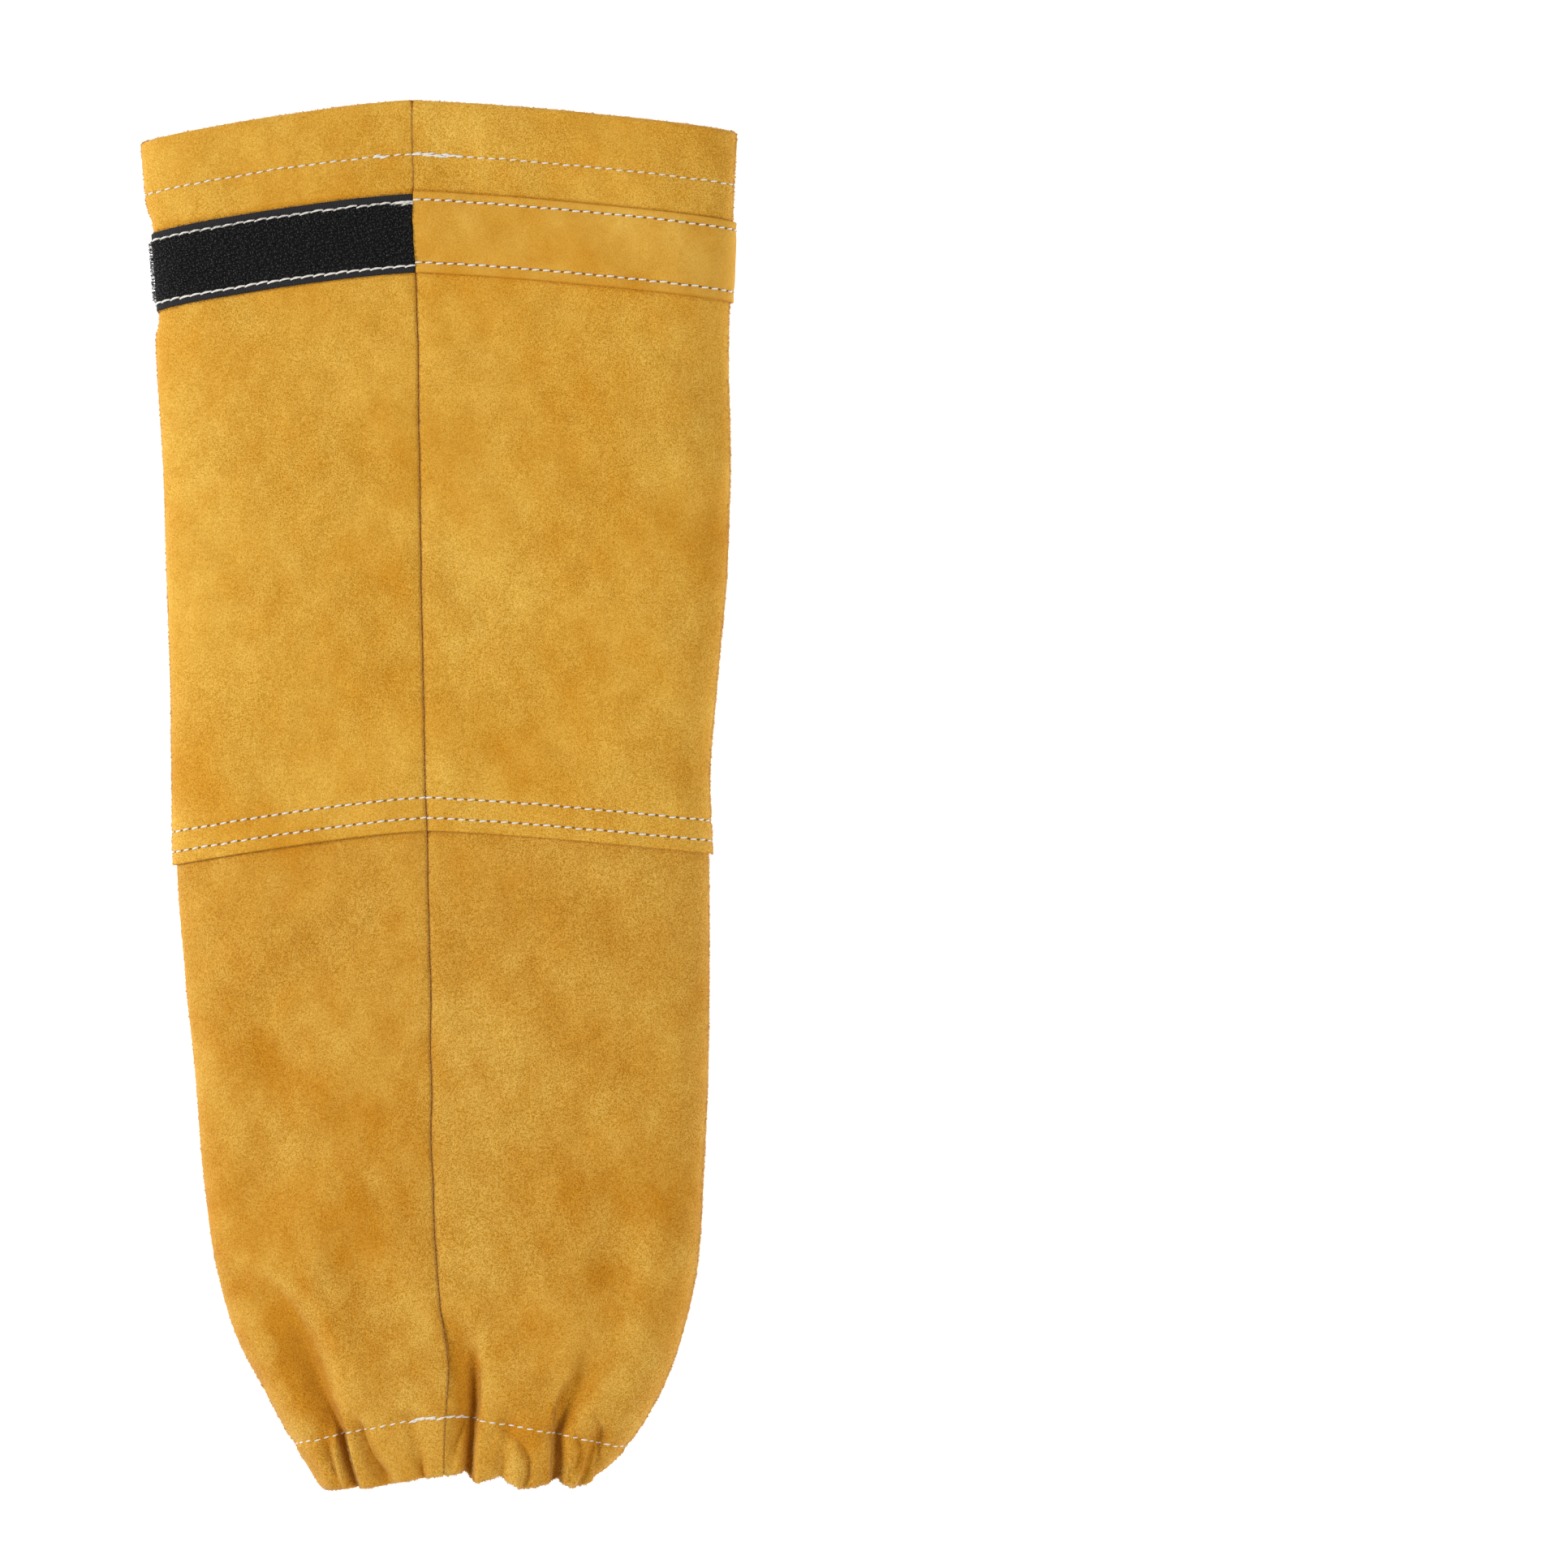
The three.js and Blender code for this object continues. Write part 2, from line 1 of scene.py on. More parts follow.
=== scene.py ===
# A welder's arm sleeve of split leather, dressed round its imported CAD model.
# Lengths are worked out in millimetres, in the CAD model's frame, and become metres where a mesh is made.
import json
import math
import bpy
import numpy as np
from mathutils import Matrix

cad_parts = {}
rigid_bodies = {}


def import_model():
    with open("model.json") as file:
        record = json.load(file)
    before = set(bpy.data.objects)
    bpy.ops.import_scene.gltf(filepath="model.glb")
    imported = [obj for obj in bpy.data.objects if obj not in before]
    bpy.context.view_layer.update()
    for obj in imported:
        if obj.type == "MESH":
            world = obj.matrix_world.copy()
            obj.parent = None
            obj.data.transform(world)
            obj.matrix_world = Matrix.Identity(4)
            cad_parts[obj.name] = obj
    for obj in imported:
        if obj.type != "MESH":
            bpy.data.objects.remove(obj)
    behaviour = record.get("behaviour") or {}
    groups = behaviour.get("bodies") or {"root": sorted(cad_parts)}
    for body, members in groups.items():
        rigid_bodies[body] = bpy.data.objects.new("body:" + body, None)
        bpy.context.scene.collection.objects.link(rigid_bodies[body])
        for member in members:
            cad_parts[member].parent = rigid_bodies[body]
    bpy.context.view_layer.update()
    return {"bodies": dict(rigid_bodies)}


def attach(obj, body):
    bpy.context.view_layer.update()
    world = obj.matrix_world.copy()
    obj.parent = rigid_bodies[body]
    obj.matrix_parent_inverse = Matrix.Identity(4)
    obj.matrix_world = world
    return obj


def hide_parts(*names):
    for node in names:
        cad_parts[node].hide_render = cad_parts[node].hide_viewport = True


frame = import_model()
scene = bpy.context.scene
body = list(frame["bodies"])[0]
millimetre = 0.001


# the photograph's camera: straight above, lengths in millimetres
view = {"x": 133.6, "y": 3.5, "height": 2000, "across": 609.7, "sensor": 36}
cameraData = bpy.data.cameras.new("overheadCamera")
cameraData.sensor_width = view["sensor"]
cameraData.lens = view["sensor"] * view["height"] / view["across"]
camera = bpy.data.objects.new("overheadCamera", cameraData)
camera.location = [view[k] * millimetre for k in ("x", "y", "height")]
scene.collection.objects.link(camera)
scene.camera = camera

# level: light on the sleeve, floorReach: metres
studio = {"ambient": 0.34, "floorTone": 0.9, "floorGlow": 0.85, "floorReach": 4, "level": 1.36}
lamps = [
    {"name": "keySoftbox", "at": (-3.0, 0.55, 1.9), "size": 1.3, "energy": 154.0},
    {"name": "fillSoftbox", "at": (2.4, -1.1, 2.0), "size": 1.8, "energy": 82.0},
]
for lamp in lamps:
    data = bpy.data.lights.new(lamp["name"], "AREA")
    data.size = lamp["size"]
    data.energy = lamp["energy"]
    lampObject = bpy.data.objects.new(lamp["name"], data)
    lampObject.location = lamp["at"]
    aim = -np.array(lamp["at"])
    lampObject.rotation_euler = (math.acos(-aim[2] / np.linalg.norm(aim)), 0,
                                 math.atan2(aim[1], aim[0]) - math.pi / 2)
    scene.collection.objects.link(lampObject)

world = bpy.data.worlds.new("studioWorld")
world.use_nodes = True
world.node_tree.nodes["Background"].inputs["Color"].default_value = (1, 1, 1, 1)
world.node_tree.nodes["Background"].inputs["Strength"].default_value = studio["ambient"]
scene.world = world
scene.view_settings.view_transform = "Standard"
print("camera and light done")


class Wire:
    # an output socket; sums, products and powers of wires and numbers add their Math nodes
    def __init__(self, shader, socket):
        self.shader, self.socket = shader, socket

    def maths(self, operation, first, second=0.0, third=0.0):
        return self.shader.node("ShaderNodeMath", {"operation": operation}, {0: first, 1: second, 2: third})

    def __add__(self, other): return self.maths("ADD", self, other)
    def __radd__(self, other): return self.maths("ADD", other, self)
    def __sub__(self, other): return self.maths("SUBTRACT", self, other)
    def __rsub__(self, other): return self.maths("SUBTRACT", other, self)
    def __mul__(self, other): return self.maths("MULTIPLY", self, other)
    def __rmul__(self, other): return self.maths("MULTIPLY", other, self)
    def __truediv__(self, other): return self.maths("DIVIDE", self, other)
    def __rtruediv__(self, other): return self.maths("DIVIDE", other, self)
    def __pow__(self, other): return self.maths("POWER", self, other)
    def __neg__(self): return self.maths("MULTIPLY", self, -1)
    def fract(self): return self.maths("FRACT", self)
    def size(self): return self.maths("ABSOLUTE", self)
    def ridges(self): return (self.fract() - 0.5).size() * 2  # 1 at whole values, 0 half way between them

    # 0 below low, 1 above high, smooth between
    def step(self, low, high):
        return self.shader.node("ShaderNodeMapRange", {"interpolation_type": "SMOOTHSTEP"},
                                {"Value": self, "From Min": low, "From Max": high})


class Shader:
    # one Principled material; constants go on its own sockets, wires are linked
    def __init__(self, name, **surface):
        self.material = bpy.data.materials.new(name)
        self.material.use_nodes = True
        self.tree = self.material.node_tree
        self.tree.nodes.clear()
        self.surface = self.tree.nodes.new("ShaderNodeBsdfPrincipled")
        output = self.tree.nodes.new("ShaderNodeOutputMaterial")
        self.tree.links.new(self.surface.outputs[0], output.inputs["Surface"])
        self.feed(self.surface, surface)

    def feed(self, node, inputs):
        for key, value in inputs.items():
            socket = node.inputs[key]
            if isinstance(value, Wire):
                self.tree.links.new(value.socket, socket)
            else:
                socket.default_value = value

    def node(self, kind, settings, inputs, output=0):
        made = self.tree.nodes.new(kind)
        for key, value in settings.items():
            if key == "stops":
                for stop in range(2, len(value)):
                    made.color_ramp.elements.new(0.5)
                for element, (position, shade) in zip(made.color_ramp.elements, value):
                    element.position, element.color = position, shade
            else:
                setattr(made, key, value)
        self.feed(made, inputs)
        return Wire(self, made.outputs[output])

    def blend(self, factor, first, second, mode="MIX"):
        return self.node("ShaderNodeMix", {"data_type": "RGBA", "blend_type": mode},
                         {0: factor, 6: first, 7: second}, 2)

    # the place in the piece's own frame, in metres
    def place(self):
        return self.node("ShaderNodeTexCoord", {}, {}, "Object")

    def noise(self, vector, scale, detail=2.0, roughness=0.5, distortion=0.0):
        return self.node("ShaderNodeTexNoise", {}, {"Vector": vector, "Scale": scale, "Detail": detail,
                                                    "Roughness": roughness, "Distortion": distortion})

    def attribute(self, name):
        return self.node("ShaderNodeAttribute", {"attribute_name": name}, {}, "Fac")

    # a place on the piece's own UV map, in millimetres across and down
    def cut(self):
        cut = self.node("ShaderNodeUVMap", {"uv_map": "cut"}, {})
        return [self.node("ShaderNodeSeparateXYZ", {}, {"Vector": cut}, axis) * 1000 for axis in "XY"]

    def ramp(self, factor, *stops):
        return self.node("ShaderNodeValToRGB", {"stops": stops}, {"Fac": factor})

    def bump(self, height, distance, strength=1.0):
        return self.node("ShaderNodeBump", {}, {"Height": height, "Distance": distance, "Strength": strength}, 0)


# the surface colour that is seen as the given one under the studio's light
def colour(red, green, blue):
    seen = [v / 255 for v in (red, green, blue)]
    linear = [v / 12.92 if v <= 0.04045 else ((v + 0.055) / 1.055) ** 2.4 for v in seen]
    return (*[min(0.9, v / studio["level"]) for v in linear], 1.0)


# points in millimetres and arrays of faces with 3 or 4 corners, as one smooth mesh that is turned outwards
def meshPiece(name, points, faces, material, uv=None, attributes=None, slot=None, sharp=False):
    corners = np.concatenate([f.ravel() for f in faces])
    sizes = np.concatenate([np.full(len(f), f.shape[1]) for f in faces])
    starts = np.concatenate([[0], np.cumsum(sizes)[:-1]])
    volume = 0.0
    for f in faces:
        for k in range(1, f.shape[1] - 1):
            a, b, c = points[f[:, 0]], points[f[:, k]], points[f[:, k + 1]]
            volume += float((a * np.cross(b, c)).sum())
    if volume < 0:
        corners = np.concatenate([f[:, ::-1].ravel() for f in faces])
    mesh = bpy.data.meshes.new(name)
    mesh.vertices.add(len(points))
    mesh.vertices.foreach_set("co", (points * millimetre).astype(np.float32).ravel())
    mesh.loops.add(len(corners))
    mesh.loops.foreach_set("vertex_index", corners.astype(np.int32))
    mesh.polygons.add(len(sizes))
    mesh.polygons.foreach_set("loop_start", starts.astype(np.int32))
    mesh.update(calc_edges=True)
    mesh.polygons.foreach_set("use_smooth", np.full(len(sizes), not sharp))
    if uv is not None:
        layer = mesh.uv_layers.new(name="cut")
        layer.data.foreach_set("uv", uv[corners].astype(np.float32).ravel())
    for key, values in (attributes or {}).items():
        mesh.attributes.new(key, "FLOAT", "POINT").data.foreach_set("value", values.astype(np.float32).ravel())
    mesh.materials.append(material)
    piece = bpy.data.objects.new(name, mesh)
    scene.collection.objects.link(piece)
    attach(piece, body)
    triangles = int((sizes - 2).sum())
    print(f"{name}: {triangles} triangles")
    return piece


# the corners of a grid's cells, for vertices numbered row by row from first
def gridFaces(rows, columns, first=0):
    i, j = np.meshgrid(np.arange(rows - 1), np.arange(columns - 1), indexing="ij")
    a = first + i * columns + j
    return np.stack([a, a + columns, a + columns + 1, a + 1], axis=-1).reshape(-1, 4)


# two grids of the same size as the two skins of a closed wall
def wallFaces(rows, columns):
    other = rows * columns
    skin = gridFaces(rows, columns)
    back = gridFaces(rows, columns, other)[:, ::-1]
    rim = np.concatenate([
        np.arange(columns), np.arange(1, rows) * columns + columns - 1,
        (rows - 1) * columns + np.arange(columns - 2, -1, -1), np.arange(rows - 2, 0, -1) * columns,
    ])
    after = np.roll(rim, -1)
    edge = np.stack([rim, after, after + other, rim + other], axis=-1)
    return [np.concatenate([skin, back, edge])]


# Tubes along many short paths. centres and up are (paths, rings, 3), radii (paths, rings). A ply of
# thread swells the ring by plyDepth where cos(plies * (angle - twist)) is high, and the twist grows ring by ring.
def tubes(centres, up, radii, sides=8, plies=0, plyDepth=0.0, twist=0.0):
    paths, rings, _ = centres.shape
    along = np.gradient(centres, axis=1)
    along /= np.maximum(np.linalg.norm(along, axis=-1, keepdims=True), 1e-9)
    across = np.cross(along, up)
    across /= np.maximum(np.linalg.norm(across, axis=-1, keepdims=True), 1e-9)
    over = np.cross(across, along)
    angle = np.arange(sides) * 2 * math.pi / sides
    turn = np.arange(rings)[:, None] * twist
    swell = 1 + plyDepth * np.cos(plies * (angle[None, :] - turn)) if plies else np.ones((rings, sides))
    reach = radii[:, :, None] * swell[None]
    ring = (centres[:, :, None] + reach[..., None] * (np.cos(angle)[:, None] * across[:, :, None]
                                                      + np.sin(angle)[:, None] * over[:, :, None]))
    ends = centres[:, [0, -1]] + along[:, [0, -1]] * radii[:, [0, -1], None] * np.array([[-1], [1]]) * 0.6
    points = np.concatenate([ring.reshape(paths, -1, 3), ends], axis=1)
    i, j = np.meshgrid(np.arange(rings - 1), np.arange(sides), indexing="ij")
    following = (j + 1) % sides
    quads = np.stack([i * sides + j, i * sides + following, (i + 1) * sides + following,
                      (i + 1) * sides + j], axis=-1).reshape(-1, 4)
    k = np.arange(sides)
    after = (k + 1) % sides
    last = (rings - 1) * sides
    caps = np.concatenate([np.stack([np.full(sides, rings * sides), after, k], axis=-1),
                           np.stack([np.full(sides, rings * sides + 1), last + k, last + after], axis=-1)])
    shift = (np.arange(paths) * points.shape[1])[:, None, None]
    return points.reshape(-1, 3), [(quads[None] + shift).reshape(-1, 4), (caps[None] + shift).reshape(-1, 3)]


# along: distance from the top edge down the long seam. around: share of the way round from the seam, 0.25 at
# the right fold, 0.5 at the back, 0.75 at the left fold. depth: distance inwards from the upper panel's face.
sleeve = {
    "length": 533, "topWidth": 231, "crown": 30, "fold": 9, "topTurn": 15,
    "leather": 1.4, "bandLeather": 1.3, "tapeBase": 0.9, "tapePile": 1.5, "elastic": 1.0,
    "gap": 0.3, "seamGap": 0.05, "hemTurn": 25, "lapEdge": 281, "lapOverlap": 21,
    "bandTop": 35.3, "bandWidth": 31.4, "tapeWidth": 30.2, "tapeSelvedge": 3.0,
    "cuffRise": 5, "casingHeight": 22.2, "casingMargin": 4, "casingRoom": 0.45, "elasticWidth": 16,
    "gatherDepth": 4.8, "gatherReach": 62, "edgeLobe": 3.8,
    "tapePinch": 2.4, "stitchWaist": 0.8, "dentDepth": 3,
    "rightPower": 6, "leftPower": 4, "cuffPower": 4.5, "backCorner": 10, "archPower": 1.3,
}
# Fine relief in millimetres: the seam's groove, the leather's lift beside what is sewn on it, how far the stack
# under the band and the tape reaches past them, and the stitch rows' pull. waves and seamWander hold the height,
# length and seed of random waves.
relief = {
    "groove": 0.45, "grooveWidth": 2.6, "lift": 0.3, "liftAway": 1.7, "liftWidth": 1.2, "stackMargin": 12,
    "hemPull": 0.22, "lapPull": 0.3, "pullWidth": 1.3, "waves": ((0.32, 42, 11), (0.14, 17, 12), (0.05, 7, 13)),
    "seamWander": ((0.12, 40, 14), (0.06, 11, 15)), "wanderWidth": 14,
}
# the upper panel, here because its stitch rows draw the leather in
upper = {"frontColumns": 78, "backColumns": 34, "firstColumn": 0.0095, "rowSpacing": 2.7, "hemStitch": 21.0,
         "lapStitches": (sleeve["lapEdge"] - 12.8, sleeve["lapEdge"] - 5.0), "pitch": 4.1}
frontLength = sleeve["length"] - sleeve["cuffRise"]
stitchLine = frontLength - sleeve["casingHeight"]
casingTop = stitchLine - sleeve["casingMargin"]
bandEnd = sleeve["bandTop"] + sleeve["bandWidth"]
tapeTop = bandEnd - sleeve["tapeWidth"]
lowerTop = sleeve["lapEdge"] - sleeve["lapOverlap"]
lowerDepth = sleeve["leather"] + sleeve["gap"]
casingSlot = 2 * sleeve["casingRoom"] + sleeve["elastic"]

# share of the length, then left, right and seam as shares of topWidth, crown of crown, and the drops of topTurn
outlineRows = np.array([
    (0.0, 0.5, 0.5, -0.041, 0.8, 1.0, 0.73), (0.1, 0.481, 0.489, -0.0375, 0.84, 0.92, 0.69),
    (0.17, 0.472, 0.486, -0.031, 0.85, 0.9, 0.66), (0.23, 0.463, 0.489, -0.0285, 0.86, 0.9, 0.64),
    (0.32, 0.456, 0.4835, -0.0255, 0.87, 0.9, 0.62), (0.4, 0.45, 0.4675, -0.0225, 0.88, 0.9, 0.6),
    (0.47, 0.448, 0.455, -0.019, 0.89, 0.9, 0.6), (0.53, 0.446, 0.46, -0.0155, 0.9, 0.9, 0.6),
    (0.6, 0.434, 0.461, -0.011, 0.92, 0.88, 0.64), (0.68, 0.4155, 0.459, -0.008, 0.95, 0.86, 0.69),
    (0.75, 0.4025, 0.452, -0.007, 0.98, 0.83, 0.75), (0.82, 0.381, 0.441, -0.0005, 1.0, 0.8, 0.8),
    (0.87, 0.3485, 0.415, 0.0075, 1.0, 0.78, 0.85), (0.91, 0.302, 0.38, 0.0195, 1.01, 0.76, 0.87),
    (0.95, 0.25, 0.324, 0.0165, 1.0, 0.79, 0.87), (0.975, 0.221, 0.292, 0.0135, 0.97, 0.48, 0.46),
    (1.0, 0.196, 0.257, 0.013, 0.93, 0.1, 0.0),
])

# valleys of the gathered cuff: places at the edge, on the stitch line and at the upper end, depth and reach as
# shares, and the widths of the two sides
gathers = np.array([
    (0.008, 0.012, 0.004, 0.25, 0.08, 0.006, 0.006), (0.0265, 0.0235, 0.009, 1.0, 0.85, 0.0115, 0.0045),
    (0.062, 0.056, 0.054, 0.4, 0.15, 0.008, 0.008), (0.128, 0.1, 0.112, 0.85, 0.7, 0.0055, 0.013),
    (0.178, 0.152, 0.15, 0.6, 0.12, 0.01, 0.013), (0.848, 0.856, 0.85, 0.35, 0.1, 0.01, 0.007),
    (0.876, 0.882, 0.87, 0.95, 0.95, 0.016, 0.0065), (0.93, 0.912, 0.911, 0.45, 0.15, 0.011, 0.008),
    (0.975, 0.967, 0.967, 0.3, 0.08, 0.008, 0.006), (0.37, 0.37, 0.37, 0.55, 0.5, 0.014, 0.014),
    (0.415, 0.415, 0.415, 0.5, 0.4, 0.012, 0.012), (0.462, 0.462, 0.462, 0.65, 0.6, 0.012, 0.012),
    (0.52, 0.52, 0.52, 0.5, 0.35, 0.012, 0.012), (0.578, 0.578, 0.578, 0.6, 0.55, 0.012, 0.012),
    (0.628, 0.628, 0.628, 0.5, 0.45, 0.014, 0.014),
])

# broad dents: place along and around, depth, length and width, all as shares
dents = np.array([
    (0.194, 0.192, 0.5, 0.05, 0.03), (0.214, 0.062, 0.5, 0.03, 0.04), (0.457, 0.0735, 0.45, 0.014, 0.05),
    (0.462, 0.913, 0.6, 0.03, 0.035), (0.6, 0.815, 0.5, 0.016, 0.03), (0.7, 0.89, 1.0, 0.035, 0.03),
    (0.784, 0.87, 0.9, 0.03, 0.03), (0.84, 0.9375, 0.7, 0.025, 0.03), (0.83, 0.122, 1.0, 0.05, 0.022),
])

# How far the cuff's edge is drawn up above its lowest place, in millimetres, at shares of the way round.
edgeRise = np.array([
    (0.0, 2.8), (0.012, 3.4), (0.0205, 4.8), (0.028, 1.5), (0.0344, 0.5), (0.045, 1.9), (0.0585, 3.4), (0.07, 0.8),
    (0.0844, -1.1), (0.1, -0.3), (0.112, 0.8), (0.128, 1.7), (0.138, 3.3), (0.15, 1.0), (0.1695, -0.2), (0.2, 1.0),
    (0.213, 2.2), (0.24, 2.2), (0.3, 0.6), (0.37, 2.4), (0.392, 0.6), (0.415, 2.0), (0.438, 0.5), (0.462, 2.8),
    (0.49, 0.5), (0.52, 2.2), (0.55, 0.4), (0.578, 2.6), (0.603, 0.5), (0.628, 2.2), (0.66, 0.4), (0.75, 0.4),
    (0.838, 0.0), (0.868, 0.2), (0.875, 0.9), (0.882, 0.1), (0.8946, -0.1), (0.92, 0.5), (0.9456, 1.3),
    (0.975, 2.2), (1.0, 2.8),
])

# Fine creases, seen from above: x, y and depth in millimetres, negative for a ridge. wide is the reach to the
# left and to the right of a path that runs down the page.
creases = [
    {"path": [(-42, -228, 0), (-39.5, -236, 0.9), (-36.9, -243, 2.0), (-34.8, -252, 2.3), (-30.5, -262, 2.2)],
     "wide": (3.0, 0.8)},
    {"path": [(-40.4, -243, 0), (-40.2, -247, -1.5), (-39.6, -253, -1.6), (-38.2, -258, -1.0), (-37, -262, 0)],
     "wide": (1.0, 2.2)},
    {"path": [(-42.6, -242, 0.3), (-43.0, -248, 1.1), (-42.6, -253, 1.2), (-41, -258, 0.9), (-39.3, -262, 0.3)],
     "wide": (2.4, 0.8)},
    {"path": [(-33.8, -234, 0), (-31.4, -239, 0.7), (-28.7, -243, 1.4), (-27.6, -247, 1.9), (-26.5, -250, 2.0),
              (-24.9, -253, 2.0), (-22.9, -255.2, 2.0), (-20.2, -257.6, 2.2), (-17.6, -260, 1.8)],
     "wide": (3.4, 0.8)},
    {"path": [(-5.8, -245, 0), (-5.3, -250, 0.6), (-5.2, -255, 1.1), (-5, -263, 1.5)], "wide": (1.8, 0.9)},
    {"path": [(11.2, -236, 0), (10.4, -241, 1.1), (8.7, -246, 1.4), (7.5, -250, 1.2), (6.2, -258, 0.2)],
     "wide": (2.2, 0.9)},
    {"path": [(11.9, -204, 0), (15.0, -211, 0.8), (16.4, -219, 2.0), (16.6, -226, 2.8), (16.5, -232, 2.8),
              (15.7, -239, 2.4), (14.9, -244, 2.2), (14.2, -251, 2.2), (13.8, -263, 2.3)], "wide": (2.8, 0.55)},
    {"path": [(22.0, -253, 0), (21.9, -248, 0.8), (24.3, -244.9, 1.0), (27.6, -244.4, 1.1), (31.2, -246.7, 1.6),
              (34.1, -250.7, 2.0), (35.2, -254.2, 2.2), (34.8, -258, 2.2), (33.2, -262, 1.6)], "wide": (0.9, 2.4)},
    {"path": [(27.2, -247, 0), (29.2, -252, -1.0), (30.6, -258, -1.1), (30.4, -263, -0.8)], "wide": (3.4, 2.4)},
    {"path": [(57.5, -214, 0), (54.4, -220, 0.6), (52.0, -225, 1.3), (49.0, -229.4, 2.1), (47.0, -234.3, 2.7),
              (46.1, -238, 2.7), (46.0, -242, 2.3), (46.5, -245.6, 2.1), (45.8, -250.3, 2.4), (45.0, -254, 2.5),
              (44.9, -263, 2.1)], "wide": (0.6, 3.2)},
    {"path": [(51.4, -243, 0), (53.9, -245.6, 0.9), (55.7, -250, 1.3), (55.8, -254, 1.4), (54.9, -257.8, 1.3),
              (52.4, -261, 1.0)], "wide": (0.9, 2.2)},
    {"path": [(60.4, -236, 0), (61.8, -240.4, 0.9), (63.6, -245.7, 1.8), (64.5, -250.7, 2.2), (64.1, -254.8, 2.3),
              (62.4, -263, 1.9)], "wide": (0.6, 2.5)},
    {"path": [(-86, -176, 0), (-79, -181, 0.5), (-72, -186, 1.2), (-60, -195, 2.7), (-52, -206, 3.7),
              (-48, -217, 3.9), (-43, -227, 3.2), (-39.3, -237, 2.0), (-37, -243, 0.8)], "wide": (10.5, 4.6)},
    {"path": [(-56, -178, 0), (-50, -185, -0.7), (-42, -197, -1.2), (-38, -212, -1.3), (-35.5, -224, -1.0),
              (-33, -235, -0.4)], "wide": (3.6, 12)},
    {"path": [(14, -207.5, 0), (20, -206.2, -0.3), (38, -205, -0.3), (50, -207, -0.25), (60, -210, 0)],
     "wide": (0.9, 0.9)},
    {"path": [(14, 15.5, 0), (31.8, 18.8, 0.4), (50.9, 20.8, 0.45), (75, 23.4, 0)], "wide": (2.2, 1.6)},
    {"path": [(110, 111, 0.7), (103.2, 108, 0.6), (93, 103.5, 0)], "wide": (1.6, 1.8)},
    {"path": [(-99, -62, 0.7), (-89.8, -64.9, 0.6), (-77, -66.8, 0)], "wide": (1.8, 1.6)},
]


# 0 below low, 1 above high, and a cubic between
def smooth(low, high, value):
    t = np.clip((value - low) / (high - low), 0, 1)
    return t * t * (3 - 2 * t)


# e to the power of minus the square
def bell(value):
    return np.exp(-value * value)


# 0 below the first place and above the last, 1 from the second to the third, smooth between
def window(value, first, second, third, last):
    return smooth(first, second, value) * (1 - smooth(third, last, value))


# a soft random surface of about unit height: plane waves of about the given length in random directions
def wander(u, v, seed, length, waves=14):
    random = np.random.default_rng(seed)
    total = np.zeros(np.broadcast(u, v).shape)
    for k in range(waves):
        heading, phase = random.uniform(0, 2 * math.pi, 2)
        rate = 2 * math.pi / (length * random.uniform(0.6, 1.7))
        total = total + np.sin(rate * (u * math.cos(heading) + v * math.sin(heading)) + phase)
    return total * math.sqrt(2 / waves)


# The outline's values at a place along the sleeve: a cubic through the rows, with each row's slope taken from
# its neighbours.
def sectionAt(along):
    share = np.clip(along / sleeve["length"], 0, 1)
    at, rows = outlineRows[:, 0], outlineRows[:, 1:]
    i = np.clip(np.searchsorted(at, share, side="right") - 1, 0, len(at) - 2)
    before, after = np.maximum(i - 1, 0), np.minimum(i + 2, len(at) - 1)
    span = (at[i + 1] - at[i])[..., None]
    t = (share[..., None] - at[i][..., None]) / span
    slopeIn = (rows[i + 1] - rows[before]) / (at[i + 1] - at[before])[..., None] * span
    slopeOut = (rows[after] - rows[i]) / (at[after] - at[i])[..., None] * span
    value = (rows[i] * (1 + 2 * t) * (1 - t) ** 2 + slopeIn * t * (1 - t) ** 2
             + rows[i + 1] * t * t * (3 - 2 * t) - slopeOut * t * t * (1 - t))
    left, right, seam, crown, dropLeft, dropRight = np.moveaxis(value, -1, 0)
    width, turn = sleeve["topWidth"], sleeve["topTurn"]
    return -left * width, right * width, seam * width, crown * sleeve["crown"], dropLeft * turn, dropRight * turn


# The bare outline: x and z of the face and how far it drops below the seam. Above, z is the fold's height plus
# the rest of the crown times sqrt(1 - across^power); below it is flat between two quarter rounds.
def outline(along, around):
    left, right, seam, crown, dropLeft, dropRight = sectionAt(along)
    onRight = around < 0.5
    turn = 4 * np.where(onRight, around, 1 - around)
    side = np.where(onRight, 1.0, -1.0)
    centre, half = (left + right) / 2, (right - left) / 2
    drop = np.where(onRight, dropRight, dropLeft)
    swing = np.clip(np.sin(turn * math.pi / 2), 0, 1)
    start = (side * (seam - centre) + sleeve["seamGap"] / 2) / half
    across = np.minimum(1, start + (1 - start) * swing)
    armPower = np.where(onRight, sleeve["rightPower"], sleeve["leftPower"])
    nearCuff = smooth(0.8, 0.95, along / sleeve["length"])
    power = armPower + (sleeve["cuffPower"] - armPower) * nearCuff
    rise = np.sqrt(np.maximum(0, 1 - np.abs(across) ** power))
    corner = np.clip((swing * half - (half - sleeve["backCorner"])) / sleeve["backCorner"], 0, 1)
    level = (dropLeft + dropRight) / 2 * (1 - 0.6 * smooth(stitchLine, frontLength, along))
    front = turn <= 1
    x = centre + side * np.where(front, across, swing) * half
    face, back = sleeve["fold"] + (crown - sleeve["fold"]) * rise, sleeve["fold"] * (1 - np.sqrt(1 - corner ** 2))
    z = np.where(front, face, back)
    return x, z, np.where(front, drop * swing ** sleeve["archPower"], level + (drop - level) * swing)


